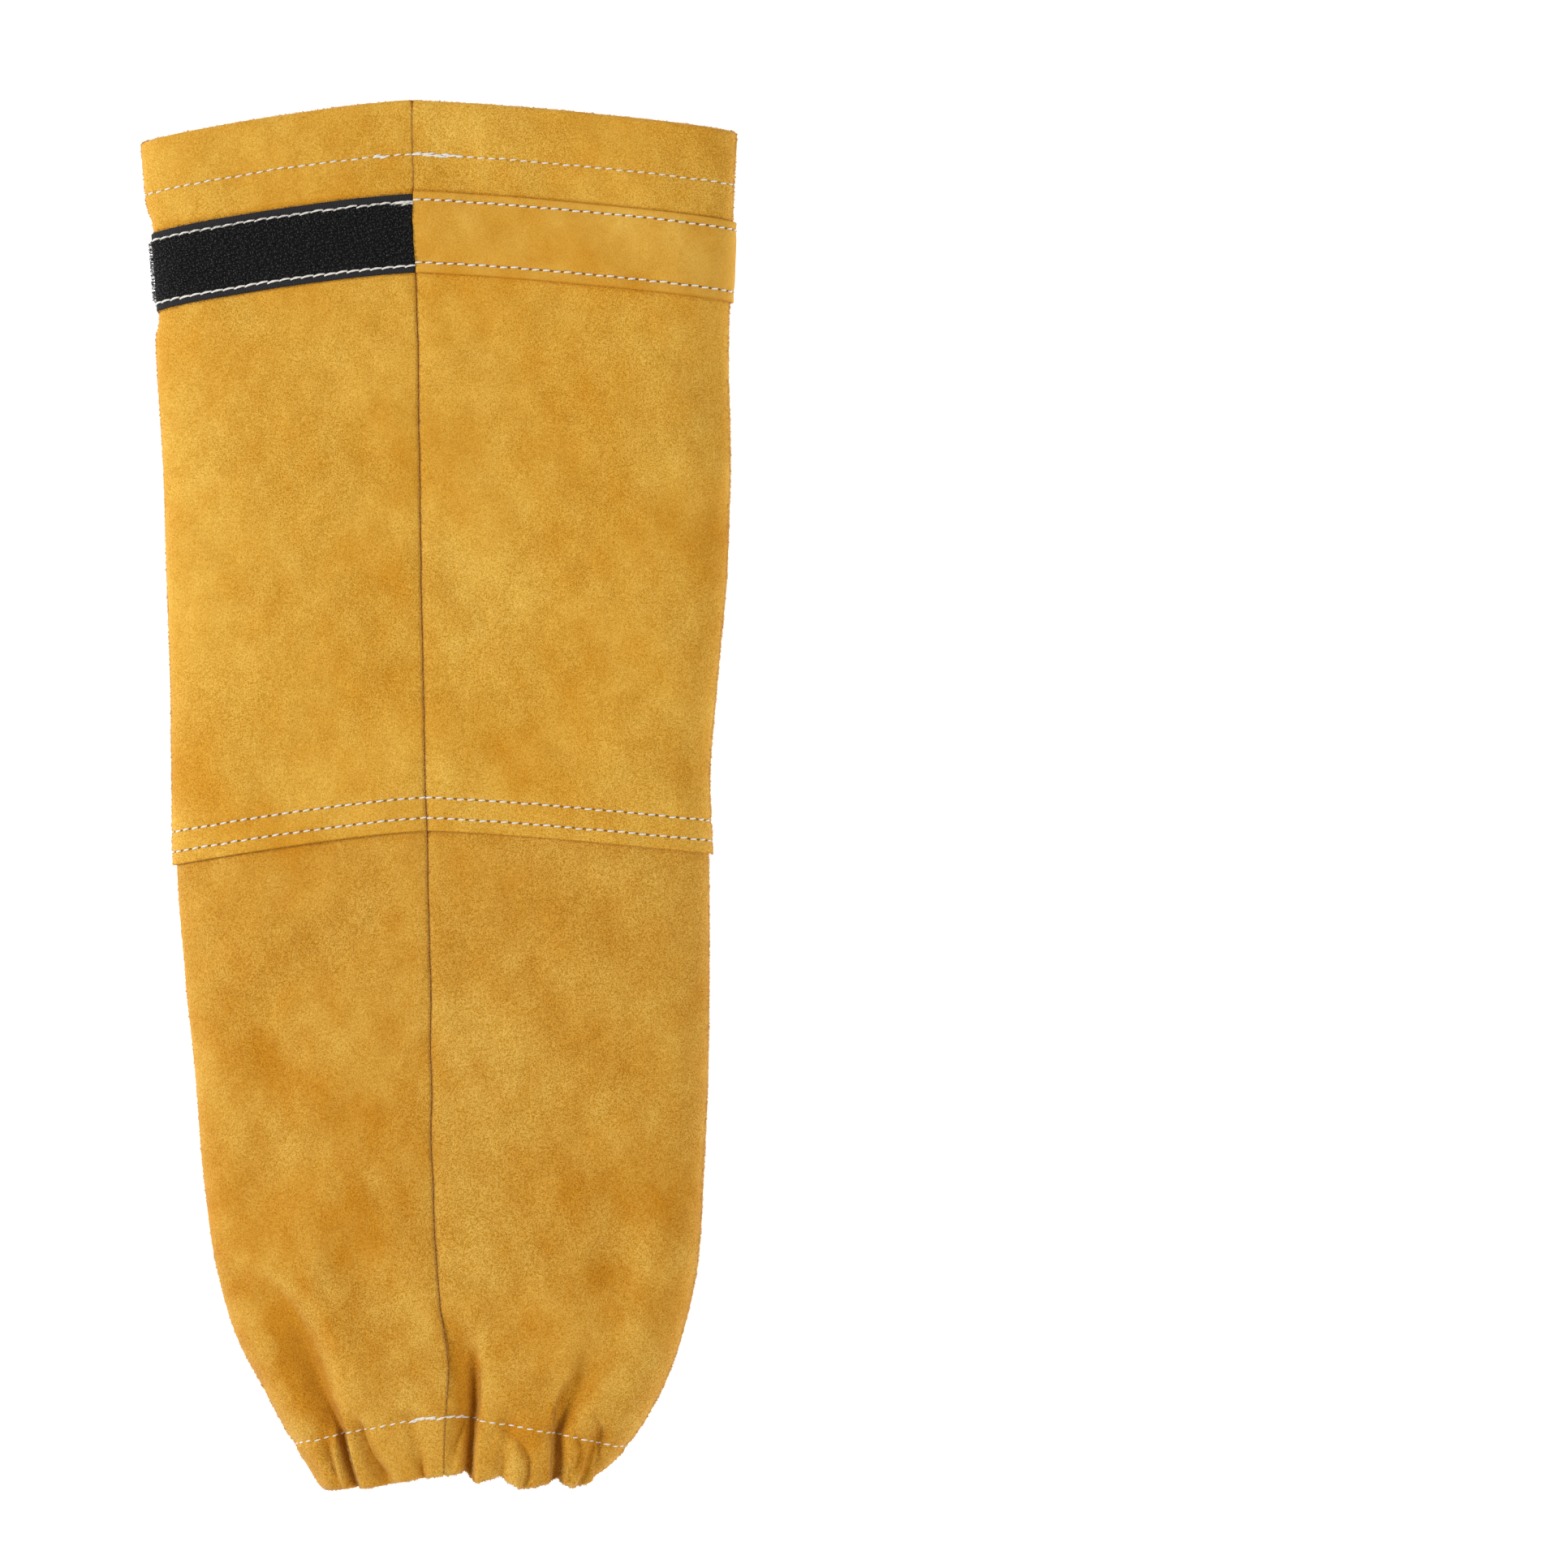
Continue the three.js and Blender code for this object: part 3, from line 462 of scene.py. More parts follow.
# the outward direction across the outline, from the outline's own slope
def outward(along, around):
    reach = 0.002
    onRight = around < 0.5
    low = np.where(onRight, np.maximum(0, around - reach), np.maximum(0.5, around - reach))
    high = np.where(onRight, np.minimum(0.4999999, around + reach), np.minimum(1, around + reach))
    (xLow, zLow, _), (xHigh, zHigh, _) = outline(along, low), outline(along, high)
    long = np.maximum(np.hypot(xHigh - xLow, zHigh - zLow), 1e-9)
    return -(zHigh - zLow) / long, (xHigh - xLow) / long


# how much of a gather's valley there is, from 0 to 1: its middle runs straight from edge to stitch to upper end
def valleyAt(row, along, around):
    edge, stitch, top, _, reach, before, after = row
    below = np.clip((along - stitchLine) / sleeve["casingHeight"], 0, 1)
    climb = np.clip((stitchLine - along) / (reach * sleeve["gatherReach"]), 0, 1)
    offset = around - (stitch + (edge - stitch) * below + (top - stitch) * climb)
    width = np.where(offset < 0, before, after) * (1 + 1.1 * climb)
    return bell(offset / width) * (1 - smooth(0.15, 1, climb))


# The depth at the nearest place of the path, times a bell of the distance from it.
def creaseAt(crease, x, y):
    path = np.array(crease["path"], float)
    nearest, depth, side = np.full(x.shape, 1e9), np.zeros(x.shape), np.zeros(x.shape)
    for start, end in zip(path[:-1], path[1:]):
        run = end[:2] - start[:2]
        t = np.clip(((x - start[0]) * run[0] + (y - start[1]) * run[1]) / (run @ run), 0, 1)
        far = np.hypot(x - start[0] - t * run[0], y - start[1] - t * run[1])
        closer = far < nearest
        nearest = np.where(closer, far, nearest)
        depth = np.where(closer, start[2] + (end[2] - start[2]) * t, depth)
        side = np.where(closer, run[0] * (y - start[1]) - run[1] * (x - start[0]), side)
    return depth * bell(nearest / np.where(side < 0, *crease["wide"]))


# how round the seam's edges are rolled: less at the hem and at the cuff
def rollScale(along):
    return 1 - 0.55 * (1 - smooth(28, 60, along)) - 0.5 * smooth(440, 500, along)


# inward movement of the leather: gathers, waist, dents, creases, the tape's pull and the stack underneath
def inwards(along, around, x, drop, normalX, normalZ):
    gathered = sum(row[3] * sleeve["gatherDepth"] * valleyAt(row, along, around) for row in gathers)
    moved = np.minimum(gathered, sleeve["gatherDepth"]) + sleeve["stitchWaist"] * bell((along - stitchLine) / 2.2)
    for at, middle, depth, long, wide in dents:
        far = np.hypot((along / sleeve["length"] - at) / long, (around - middle) / wide)
        moved = moved + depth * sleeve["dentDepth"] * bell(far)
    above = (around < 0.27) | (around > 0.73)
    groove = relief["groove"] * rollScale(along)
    moved = moved + above * groove * bell((x - sectionAt(along)[2]) / relief["grooveWidth"])
    for crease in creases:
        moved = moved + above * creaseAt(crease, x, sleeve["length"] / 2 - along - drop)
    pulls = [(upper["hemStitch"], relief["hemPull"])] + [(at, relief["lapPull"]) for at in upper["lapStitches"]]
    for at, depth in pulls:
        moved = moved + depth * bell((along - at) / relief["pullWidth"])
    beside = (sleeve["bandTop"] - relief["liftAway"], bandEnd + relief["liftAway"])
    moved = moved - relief["lift"] * sum(bell((along - at) / relief["liftWidth"]) for at in beside)
    broad, middling, fine = [height * wander(x, along, seed, long) for height, long, seed in relief["waves"]]
    moved = moved + np.maximum(0, normalZ) * (broad + middling + fine * smooth(5, 15, along))
    sewnOn = window(along, sleeve["bandTop"] - relief["stackMargin"], sleeve["bandTop"] - 1,
                    bandEnd + 1, bandEnd + relief["stackMargin"])
    tapeMore = sleeve["tapeBase"] + sleeve["tapePile"] - sleeve["bandLeather"]
    stack = sleeve["gap"] + sleeve["bandLeather"] + smooth(0.44, 0.497, around) * tapeMore
    under, tapeSide = np.maximum(0, -normalZ) ** 2, np.maximum(0, -normalX) ** 2
    return moved + (under * stack + tapeSide * sleeve["tapePinch"]) * sewnOn


# the sleeve's point at along, around and depth, in millimetres
def place(along, around, depth):
    along, around, depth = np.broadcast_arrays(*[np.asarray(v, float) for v in (along, around, depth)])
    x, z, drop = outline(along, around)
    normalX, normalZ = outward(along, around)
    shift = -depth - inwards(along, around, x, drop, normalX, normalZ)
    nearCuff = smooth(stitchLine, frontLength, along)
    knot = np.clip(np.searchsorted(edgeRise[:, 0], around, side="right") - 1, 0, len(edgeRise) - 2)
    t = np.clip((around - edgeRise[knot, 0]) / (edgeRise[knot + 1, 0] - edgeRise[knot, 0]), 0, 1)
    rise = edgeRise[knot, 1] + (edgeRise[knot + 1, 1] - edgeRise[knot, 1]) * t * t * (3 - 2 * t)
    lobes = sleeve["edgeLobe"] * smooth(-0.2, 0.4, normalZ)
    y = sleeve["length"] / 2 - along - drop + (rise - lobes) * nearCuff
    # the seam doesn't run quite straight
    aside = sum(height * wander(0, along, seed, long) for height, long, seed in relief["seamWander"])
    near = (z > sleeve["fold"]) * bell((x - sectionAt(along)[2]) / relief["wanderWidth"])
    x = x + aside * near * window(along, 8, 30, 480, 505)
    return np.stack([x + normalX * shift, y, z + normalZ * shift], axis=-1)


# the leather's rolled edges at the seam, and what hangs down inside: radii and lengths in millimetres
seamRoll = {"radius": 1.45, "bandRadius": 1.32, "tapeRadius": 1.0, "steps": 6, "allowance": 8.0, "bandHang": 0.12,
            "firstShare": 0.0066, "hang": (1, 0.6, 0.25), "hangTaper": 9}
cutEdge = {"rounding": 0.4, "steps": 4, "clear": 0.6, "shade": 3}  # a sheet's cut edge is darker than its face


# Columns of a sheet, from the seam outwards. At a seam the sheet rolls inwards round a quarter circle and hangs
# down as its allowance: offset and down are millimetres from the seam's edge, for both skins, and allowance is
# the share of the hanging part.
def sheetColumns(shares, thickness, radius):
    angle = np.linspace(math.pi / 2, 0, seamRoll["steps"] + 1)
    hang = np.array(seamRoll["hang"])
    flat, none = np.zeros(len(shares)), np.zeros(len(hang))
    inner = radius - thickness
    return {
        "share": np.concatenate([none, 0 * angle, shares]),
        "offset": np.concatenate([none, radius * (1 - np.sin(angle)), flat]),
        "down": np.concatenate([none + radius, radius * (1 - np.cos(angle)), flat]),
        "innerOffset": np.concatenate([none + thickness, radius - inner * np.sin(angle), flat]),
        "innerDown": np.concatenate([none + radius - thickness, inner * (1 - np.cos(angle)), flat]),
        "allowance": np.concatenate([hang, 0 * angle, flat]),
    }


# the columns of the right side, then those of the left in reverse, so that they run round the sleeve
def joinColumns(right, left):
    columns = {}
    for key in (right or left):
        parts = ([right[key]] if right else []) + ([left[key][::-1]] if left else [])
        columns[key] = np.concatenate(parts)
    counts = [len(right["share"]) if right else 0, len(left["share"]) if left else 0]
    columns["onRight"] = np.repeat([True, False], counts)
    return columns


# Rows of a sheet: along and depth of both skins, the direction inwards from the outer skin, and the length of
# the seam allowance as a share.
def straightRows(alongs, faceDepth, thickness, cutStart=False, cutEnd=False):
    alongs = np.array(alongs, float)
    rounding = min(cutEdge["rounding"], thickness * 0.35)
    turn = np.linspace(0, math.pi / 2, cutEdge["steps"])
    corner, inset = rounding * (1 - np.sin(turn)), rounding * (1 - np.cos(turn))
    depth = np.zeros(len(alongs))
    if cutStart:
        alongs = np.concatenate([alongs[0] + inset, alongs[alongs > alongs[0] + cutEdge["clear"]]])
        depth = np.concatenate([corner, np.zeros(len(alongs) - len(corner))])
    if cutEnd:
        kept = alongs < alongs[-1] - cutEdge["clear"]
        alongs, depth = (np.concatenate([alongs[kept], alongs[-1] - inset[::-1]]),
                         np.concatenate([depth[kept], corner[::-1]]))
    rows = np.zeros((len(alongs), 6))
    rows[:, 0], rows[:, 1] = alongs, faceDepth + depth
    rows[:, 2], rows[:, 3] = alongs, faceDepth + thickness - depth
    rows[:, 5] = 1
    return rows


# rows round a turned edge, from the inner leaf to the outer: half a circle in along and depth
def turnedRows(edge, towards, faceDepth, slot, innerAlongs, steps):
    leather = sleeve["leather"]
    radius = leather + slot / 2
    leaf = np.array([(a, faceDepth + 2 * radius, a, faceDepth + leather + slot, 0, -1) for a in innerAlongs])
    angle = np.pi * (1 - np.arange(steps + 1) / steps)
    middle = edge + towards * radius
    turn = np.stack([
        middle - towards * radius * np.sin(angle), faceDepth + radius - radius * np.cos(angle),
        middle - towards * slot / 2 * np.sin(angle), faceDepth + radius - slot / 2 * np.cos(angle),
        towards * np.sin(angle), np.cos(angle),
    ], axis=-1)
    return np.concatenate([leaf, turn])


# A wall of two skins over rows and columns. Gives its grid too, so that stitches can follow it.
def buildWall(rows, columns, allowanceShares):
    along, depth, innerAlong, innerDepth, towardsAlong, towardsDepth = rows.T[:, :, None]
    left, right = sectionAt(rows[:, 0])[:2]
    perShare = (math.pi * (right - left))[:, None]
    reach = allowanceShares[:, None] * columns["allowance"][None] * seamRoll["allowance"]
    rolled = rollScale(rows[:, :1])
    down, innerDown = columns["down"] * rolled + reach, columns["innerDown"] + reach

    def skin(skinAlong, skinDepth, offset, skinDown):
        share = columns["share"][None] + offset / perShare
        around = np.where(columns["onRight"], share, 1 - share)
        return around, place(skinAlong + towardsAlong * skinDown, around, skinDepth + towardsDepth * skinDown)

    around, outer = skin(along, depth, columns["offset"] * rolled, down)
    _, inner = skin(innerAlong, innerDepth, columns["innerOffset"][None], innerDown)
    surface = columns["allowance"] == 0
    steps = np.linalg.norm(np.diff(outer, axis=1), axis=-1) * (surface[1:] & surface[:-1])
    travelled = np.concatenate([np.zeros((len(rows), 1)), np.cumsum(steps, axis=1)], axis=1)
    return {"rows": rows, "columns": columns, "outer": outer, "inner": inner, "around": around,
            "travelled": travelled, "surface": surface}


# cutRows: how many rows at the start and at the end are the cut edge, which is darker than the face
def wallPiece(name, wall, material, slot, cutRows=(0, 0)):
    height, width = wall["around"].shape
    points = np.concatenate([wall["outer"].reshape(-1, 3), wall["inner"].reshape(-1, 3)])
    down = np.repeat(wall["rows"][:, :1], width, axis=1)
    uv = np.stack([wall["travelled"], down], axis=-1).reshape(-1, 2) * millimetre
    inside = np.repeat([0.0, 1.0], height * width)
    outer = wall["outer"]
    # the nap's tone and painted shade, stored on the vertices
    shade = napShade(outer[..., 0], outer[..., 1], down, wall["around"])
    shade[:cutRows[0]] -= cutEdge["shade"]
    shade[height - cutRows[1]:] -= cutEdge["shade"]
    values = {"inside": inside, "napShade": np.tile(shade.ravel(), 2)}
    return meshPiece(name, points, wallFaces(height, width), material, np.tile(uv, (2, 1)), values, slot)


# Broad patches, mostly the tone of the brushed nap where it lies in other directions and partly painted shade of
# the lower panel's shallow depressions near the cuff: x, y, half widths in millimetres and shade, negative for
# darker.
napAndShadePatches = np.array([
    (50, 151, 27, 20, -0.9), (106, 104, 12, 24, -1.0), (17, 16, 24, 13, -0.6), (-94, 15, 13, 24, -0.9),
    (-68, -101, 20, 14, -0.8), (-85, -145, 12, 32, -0.6), (80, -160, 22, 17, -0.6), (96, -198, 12, 20, -0.5),
    (-38, -182, 20, 28, -0.5), (14, 197, 24, 9, -0.6), (-88, 103, 20, 52, 0.6), (52, -8, 30, 16, 0.4),
    (-25, 87, 9, 36, -0.3), (12, -105, 16, 40, 0.45), (60, -60, 30, 22, 0.3), (-50, 200, 30, 12, -0.4),
    (-60, -40, 26, 30, -0.3), (30, 90, 20, 30, 0.3), (72, 60, 22, 18, -0.3), (40, -215, 22, 18, 0.5),
    (-46, -155, 34, 22, -0.7), (-50, -216, 9, 26, -0.5), (82, -170, 16, 40, -0.6), (-62, -197, 9, 9, 0.4),
])


# painted shade and highlight along the cuff's folds, darker in the valleys and paler along the ridges, as paths
# with x, y and shade
foldShadeStrokes = [
    {"path": [(-80, -188, -0.3), (-73.7, -192.3, -0.6), (-60.5, -206.3, -1.0), (-51.9, -220.3, -1.3),
              (-45.7, -231.3, -1.5), (-39.5, -239.1, -1.4), (-37, -244, -0.7)], "wide": (8.5, 3.5)},
    {"path": [(-84.6, -172.7, 0.5), (-71.3, -181.5, 0.7), (-58.1, -188.5, 1.1), (-48.8, -200.9, 1.4),
              (-45.7, -212.6, 1.3), (-41.1, -223.5, 1.1), (-38.7, -234.3, 0.7), (-36, -242, 0.3)],
     "wide": (3.2, 4.5)},
    {"path": [(17, -205, 0.4), (18.5, -220, 1.0), (18.2, -240, 0.8)], "wide": (1.6, 5)},
    {"path": [(7, -200, -0.3), (11, -215, -0.9), (12.5, -228, -1.3), (13, -240, -1.1)], "wide": (6, 2)},
    {"path": [(56, -214, -0.3), (51, -224, -0.6), (47, -233, -0.7), (46, -242, -0.4)], "wide": (2.2, 5)},
    {"path": [(24, -248, 0.3), (29, -250, 0.9), (30.5, -256, 1.0), (30, -262, 0.8)], "wide": (3, 3)},
    {"path": [(50, -244, 0.4), (51, -252, 0.8), (50, -261, 0.8)], "wide": (2.6, 2.6)},
]


# waves: strength, length in millimetres, seed and stretch across. sunk is the painted shade for each millimetre
# that the gathers sink in; the next value is the painted shadow of the lines beside sewn edges; lowerMore how much
# stronger the cuff's shades are, painted ones too.
napTonesAndShades = {"waves": ((0.45, 60, 21, 1.0), (0.3, 24, 22, 1.0), (0.18, 11, 23, 1.6)), "sunk": 0.42, "edgeShadow": 1.6,
           "lowerMore": 0.45}


# The shade is the sum of the nap's waves, the patches and the painted fold strokes, less painted shade where the
# gathers sink in and painted shadow lines beside sewn edges.
def napShade(x, y, along, around):
    shade = sum(strength * wander(x * across, y, seed, long) for strength, long, seed, across in napTonesAndShades["waves"])
    above = (around < 0.26) | (around > 0.74)
    for patchX, patchY, wide, long, strength in napAndShadePatches:
        shade = shade + above * strength * bell(np.hypot((x - patchX) / wide, (y - patchY) / long))
    # painted shade and highlight along the cuff's folds
    shade = shade + above * sum(creaseAt(stroke, x, y) for stroke in foldShadeStrokes)
    # painted shade in the gathers' valleys, darker for each millimetre that they sink in
    flatX, _, drop = outline(along, around)
    sunk = inwards(along, around, flatX, drop, *outward(along, around)) * smooth(420, 450, along)
    shade = shade - napTonesAndShades["sunk"] * np.clip(sunk - 1.0, -0.6, 5)
    # painted shadow lines on the leather just outside the band's edges and just below the lap's edge
    edges = (sleeve["bandTop"] - 0.3, bandEnd + 0.3, sleeve["lapEdge"] + 0.3)
    edgeShadow = sum(bell((along - at) / 0.7) for at in edges)
    # all these shades, the painted ones too, are made stronger on the lower panel
    more = napTonesAndShades["lowerMore"] * smooth(sleeve["lapEdge"], 420, along)
    return (shade - napTonesAndShades["edgeShadow"] * edgeShadow) * (0.9 + more)


# grainSpread, and the spread of the nap's tone with the painted shade: how far red, green and blue go either way,
# as shares, over the whole of a range
suede = {
    # the needle holes' colour is painted shade
    "tone": (209, 148, 39), "lining": (222, 184, 122), "holeShade": (142, 90, 38),
    "holeLong": 0.85, "holeWide": 0.42, "holeDepth": 0.25, "liningShare": 0.35,
    # lattice size in millimetres and number of bands of each noise
    "tufts": ((0.98, 3.0), (0.66, 2.2)), "tuftDistortion": 0.4, "tuftShare": 0.34, "fuzz": 0.46, "fuzzShare": 3.6,
    "clump": 6.5, "clumpShare": 0.8, "grainRange": 1.0, "grainSpread": (0.23, 0.36, 1.2), "paler": 1.25,
    "stretch": 48.0, "stretchShare": 0.5,
    "napAndShadeRange": 1.8, "napAndShadeSpread": (0.1, 0.25, 0.9), "relief": 0.075, "clumpRelief": 0.25,
}


# Suede: broad shades, partly from the brushed nap and partly painted shade and highlight along folds, valleys and
# sewn edges, tufts about a millimetre long, and painted shade at each needle hole.
# holeRows are (along, pitch, first hole, strength) in millimetres, read from the piece's own UV map.
def suedeMaterial(name, tuftScale=1.0, contrast=1.0, tone=(1.0, 1.0, 1.0), holeRows=()):
    shader = Shader(name, **{
        "Roughness": 0.92, "Specular IOR Level": 0.18, "Sheen Weight": 0.22, "Sheen Roughness": 0.45,
        "Sheen Tint": (1.0, 0.82, 0.5, 1.0),
    })
    where = shader.place()
    # tufts of fibres are bands along the levels of two noises, like short worms; fuzz breaks them up
    tufts = 0.0
    for size, bands in suede["tufts"]:
        level = shader.noise(where, 1000 / (size * tuftScale), 1.0, 0.5, suede["tuftDistortion"])
        turn = level * (2 * math.pi * bands)
        tufts = shader.node("ShaderNodeMath", {"operation": "SINE"}, {0: turn}) * suede["tuftShare"] + tufts
    fuzz = shader.noise(where, 1000 / suede["fuzz"], 1.0, 0.5) - 0.5
    clumps = shader.noise(where, 1000 / suede["clump"], 2.0, 0.55, 0.6) - 0.5
    shade = shader.attribute("napShade")
    inside = shader.attribute("inside")

    # from darker to paler as the value goes from minus range to range
    def spread(value, limit, shares, middle=(1, 1, 1, 1)):
        low, high = [[m * (1 + sign * s) for m, s in zip(middle, shares)] + [1]
                     for sign in (suede["paler"] - 2, suede["paler"])]
        return shader.blend(value / (2 * limit) + 0.5, low, high)

    # some stretches are brushed coarser than others
    coarse = shader.noise(where, 1000 / suede["stretch"], 1.0, 0.5, 0.5).step(0.3, 0.7) * suede["stretchShare"]
    grain = (tufts + fuzz * suede["fuzzShare"]) * contrast * (coarse + (1 - suede["stretchShare"] / 2))
    mixed = grain + clumps * suede["clumpShare"]
    base = spread(mixed, suede["grainRange"], suede["grainSpread"], colour(*suede["tone"]))
    # the nap's tone with painted shade and highlight, from the vertex attribute
    base = shader.blend(1.0, base, spread(shade, suede["napAndShadeRange"], suede["napAndShadeSpread"]), "MULTIPLY")
    base = shader.blend(1.0, base, (*tone, 1.0), "MULTIPLY")
    base = shader.blend(inside * suede["liningShare"], base, colour(*suede["lining"]))
    height = grain * suede["relief"] + clumps * suede["clumpRelief"]
    if holeRows:
        across, down = shader.cut()
        holes = 0.0
        for at, pitch, first, strength in holeRows:
            fromHole = (((across - first) / pitch + 0.5).fract() - 0.5).size() * pitch
            far = (fromHole / suede["holeLong"]) ** 2 + ((down - at).size() / suede["holeWide"]) ** 2
            holes = (1 - far.step(0.35, 1.2)) * strength * (1 - inside) + holes
        # painted shade in each needle hole, which also dips a little
        base = shader.blend(holes, base, colour(*suede["holeShade"]))
        height = height - holes * suede["holeDepth"]
    shader.feed(shader.surface, {"Base Color": base, "Normal": shader.bump(height, millimetre)})
    return shader.material


# radius, long and slant in millimetres; sunk is the ends' depth in radii, twist the plies' turn from ring to ring
thread = {"tone": (0.62, 0.585, 0.525, 1.0), "radius": 0.36, "long": 2.75, "slant": 0.34, "rings": 9, "plies": 2,
          "sides": 8, "plyDepth": 0.17, "twist": 2 * math.pi / 3 / 2.6, "sunk": 1.3, "uneven": 0.08,
          "leanScatter": 0.35, "rowScatter": 0.1, "extraScatter": 0.6}


# places from start to end at about the given spacing
def evenly(start, end, spacing):
    return np.linspace(start, end, max(2, round((end - start) / spacing) + 1))


# all the places in order, without those that follow another by less than apart
def sortedPlaces(*parts, apart):
    places = np.sort(np.concatenate([np.atleast_1d(p) for p in parts]))
    return places[np.concatenate([[True], np.diff(places) > apart])]


# where stitches lie on a row: distance travelled from the seam against share of the way round
def rowLookup(wall, at):
    i = int(np.argmin(np.abs(wall["rows"][:, 0] - at) + 99 * (wall["rows"][:, 5] < 0.99)))
    kept = wall["surface"]
    return wall["travelled"][i, kept], wall["around"][i, kept]


# A row of stitches. Each rises out of its needle hole, lies on the leather and dips into the next hole, as two
# twisted plies. slant is how far it climbs across the row over its own length, arch how far its middle bows up
# the sleeve. extra: stretches sewn again as (start, end, passes), in millimetres from the row's start, or before
# its end if negative.
def stitchRow(wall, at, faceDepth, pitch, seed, long=thread["long"], scale=1.0, slant=thread["slant"], lift=0.5,
              outwards=1, extra=(), arch=0.0):
    random = np.random.default_rng(seed)
    radius = thread["radius"] * scale
    travelled, around = rowLookup(wall, at)
    total = travelled[-1] - travelled[0]
    count = round(total / pitch)
    even = total / count
    middle = travelled[0] + (np.arange(count) + 0.5) * even
    for low, high, passes in extra:
        more = np.tile(np.arange(low, high, even * 0.55), passes)
        middle = np.concatenate([middle, (more + random.uniform(-0.8, 0.8, len(more))) % total])
    number = len(middle)
    isExtra = np.arange(number) >= count
    t = np.linspace(0, 1, thread["rings"])[None]
    length = long * (1 + random.uniform(-thread["uneven"], thread["uneven"], number))[:, None]
    reach = middle[:, None] + (t - 0.5) * length
    lean = slant * (1 + random.uniform(-thread["leanScatter"], thread["leanScatter"], number))[:, None]
    sideways = random.normal(0, thread["rowScatter"], number)[:, None]
    extraAside = random.uniform(-thread["extraScatter"], thread["extraScatter"], (number, 1))
    sideways = sideways + isExtra[:, None] * extraAside
    bow = np.sin(math.pi * t)
    alongs = at - lean * (t - 0.5) + sideways - arch * (bow - 0.6)
    arounds = np.interp(reach, travelled, around)
    above = lift + random.uniform(-0.12, 0.12, number) + isExtra * random.uniform(0, 0.9, number)
    high, sunk = radius * above[:, None], radius * thread["sunk"]
    depths = faceDepth + outwards * (sunk - (high + sunk) * bow ** 0.45)
    centres = place(alongs, arounds, depths)
    up = place(alongs, arounds, depths - outwards * 0.5) - centres
    radii = radius * (0.72 + 0.28 * bow ** 0.5) * (1 + random.uniform(-0.06, 0.06, (number, 1)))
    return tubes(centres, up, radii, thread["sides"], thread["plies"], thread["plyDepth"], thread["twist"])


# several shapes as one: their points in a row, and their faces' numbers raised to match
def joinShapes(shapes):
    points, quads, triangles, first = [], [], [], 0
    for shapePoints, (shapeQuads, shapeTriangles) in shapes:
        points.append(shapePoints)
        quads.append(shapeQuads + first)
        triangles.append(shapeTriangles + first)
        first += len(shapePoints)
    return np.concatenate(points), [np.concatenate(quads), np.concatenate(triangles)]


# the needle holes of a stitch row: its place, the pitch that fits its length, the first hole, and how dark its
# painted shade is
def needleHoles(wall, at, pitch, strength):
    travelled, _ = rowLookup(wall, at)
    total = travelled[-1] - travelled[0]
    return at, total / round(total / pitch), travelled[0], strength


# shares of the way round the face from first to the fold, spread between even steps of x and of the share
def evenFront(first, count):
    def spread(step):
        return 0.65 * np.arcsin(step) / (math.pi / 2) + 0.35 * step

    start = math.sin(2 * math.pi * first)
    low, high = spread(start), spread(1.0)
    return first + (0.25 - first) * (spread(np.linspace(start, 1, count)) - low) / (high - low)


# a panel's columns: fine on the front as far as the folds, and even on the back
def panelColumns(panel):
    front = evenFront(panel["firstColumn"], panel["frontColumns"])
    back = np.linspace(0.25, 0.5, panel["backColumns"] + 1)[1:]
    side = sheetColumns(np.concatenate([[seamRoll["firstShare"]], front, back]), leather, seamRoll["radius"])
    return joinColumns(side, {key: values[:-1] for key, values in side.items()})


# how long a panel's seam allowance hangs, as a share that tapers out from first and to last
def hanging(rows, first, last):
    taper = seamRoll["hangTaper"]
    kept = window(rows[:, 0], first, first + taper, last - taper, last - 0.3)
    return 0.02 + 0.98 * (rows[:, 5] > 0.99) * kept


# shares of the way round of a strip's columns, from the seam to the back's middle
def stripShares(count):
    return np.concatenate([[0.0045], np.linspace(0.0075, 0.498, count)])


leather = sleeve["leather"]

# upper panel: its rows lie closer where stitches press
closer = np.array([-2.2, -1.3, -0.6, 0, 0.6, 1.3, 2.2])
upperAlongs = sortedPlaces(
    evenly(leather + sleeve["gap"] / 2 + 0.6, sleeve["lapEdge"] - 0.9, upper["rowSpacing"]),
    *[closer + at for at in (upper["hemStitch"], *upper["lapStitches"])],
    [sleeve["bandTop"] - 1.5, sleeve["bandTop"], bandEnd, bandEnd + 1.5, sleeve["lapEdge"]], apart=0.45)
hemRows = turnedRows(0, 1, 0, sleeve["gap"], np.linspace(sleeve["hemTurn"], 3.2, 9), 10)
upperRows = np.concatenate([hemRows, straightRows(upperAlongs, 0, leather, cutEnd=True)])
upperWall = buildWall(upperRows, panelColumns(upper), hanging(upperRows, sleeve["hemTurn"], lowerTop))
upperHoles = [*[needleHoles(upperWall, at, upper["pitch"], 0.95) for at in upper["lapStitches"]],
              needleHoles(upperWall, upper["hemStitch"], upper["pitch"], 0.5)]
upperSuede = suedeMaterial("upperSuede", holeRows=upperHoles)
upperPiece = wallPiece("upperPanelSuede", upperWall, upperSuede, "split_leather", (0, 3))
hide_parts("upper_panel")

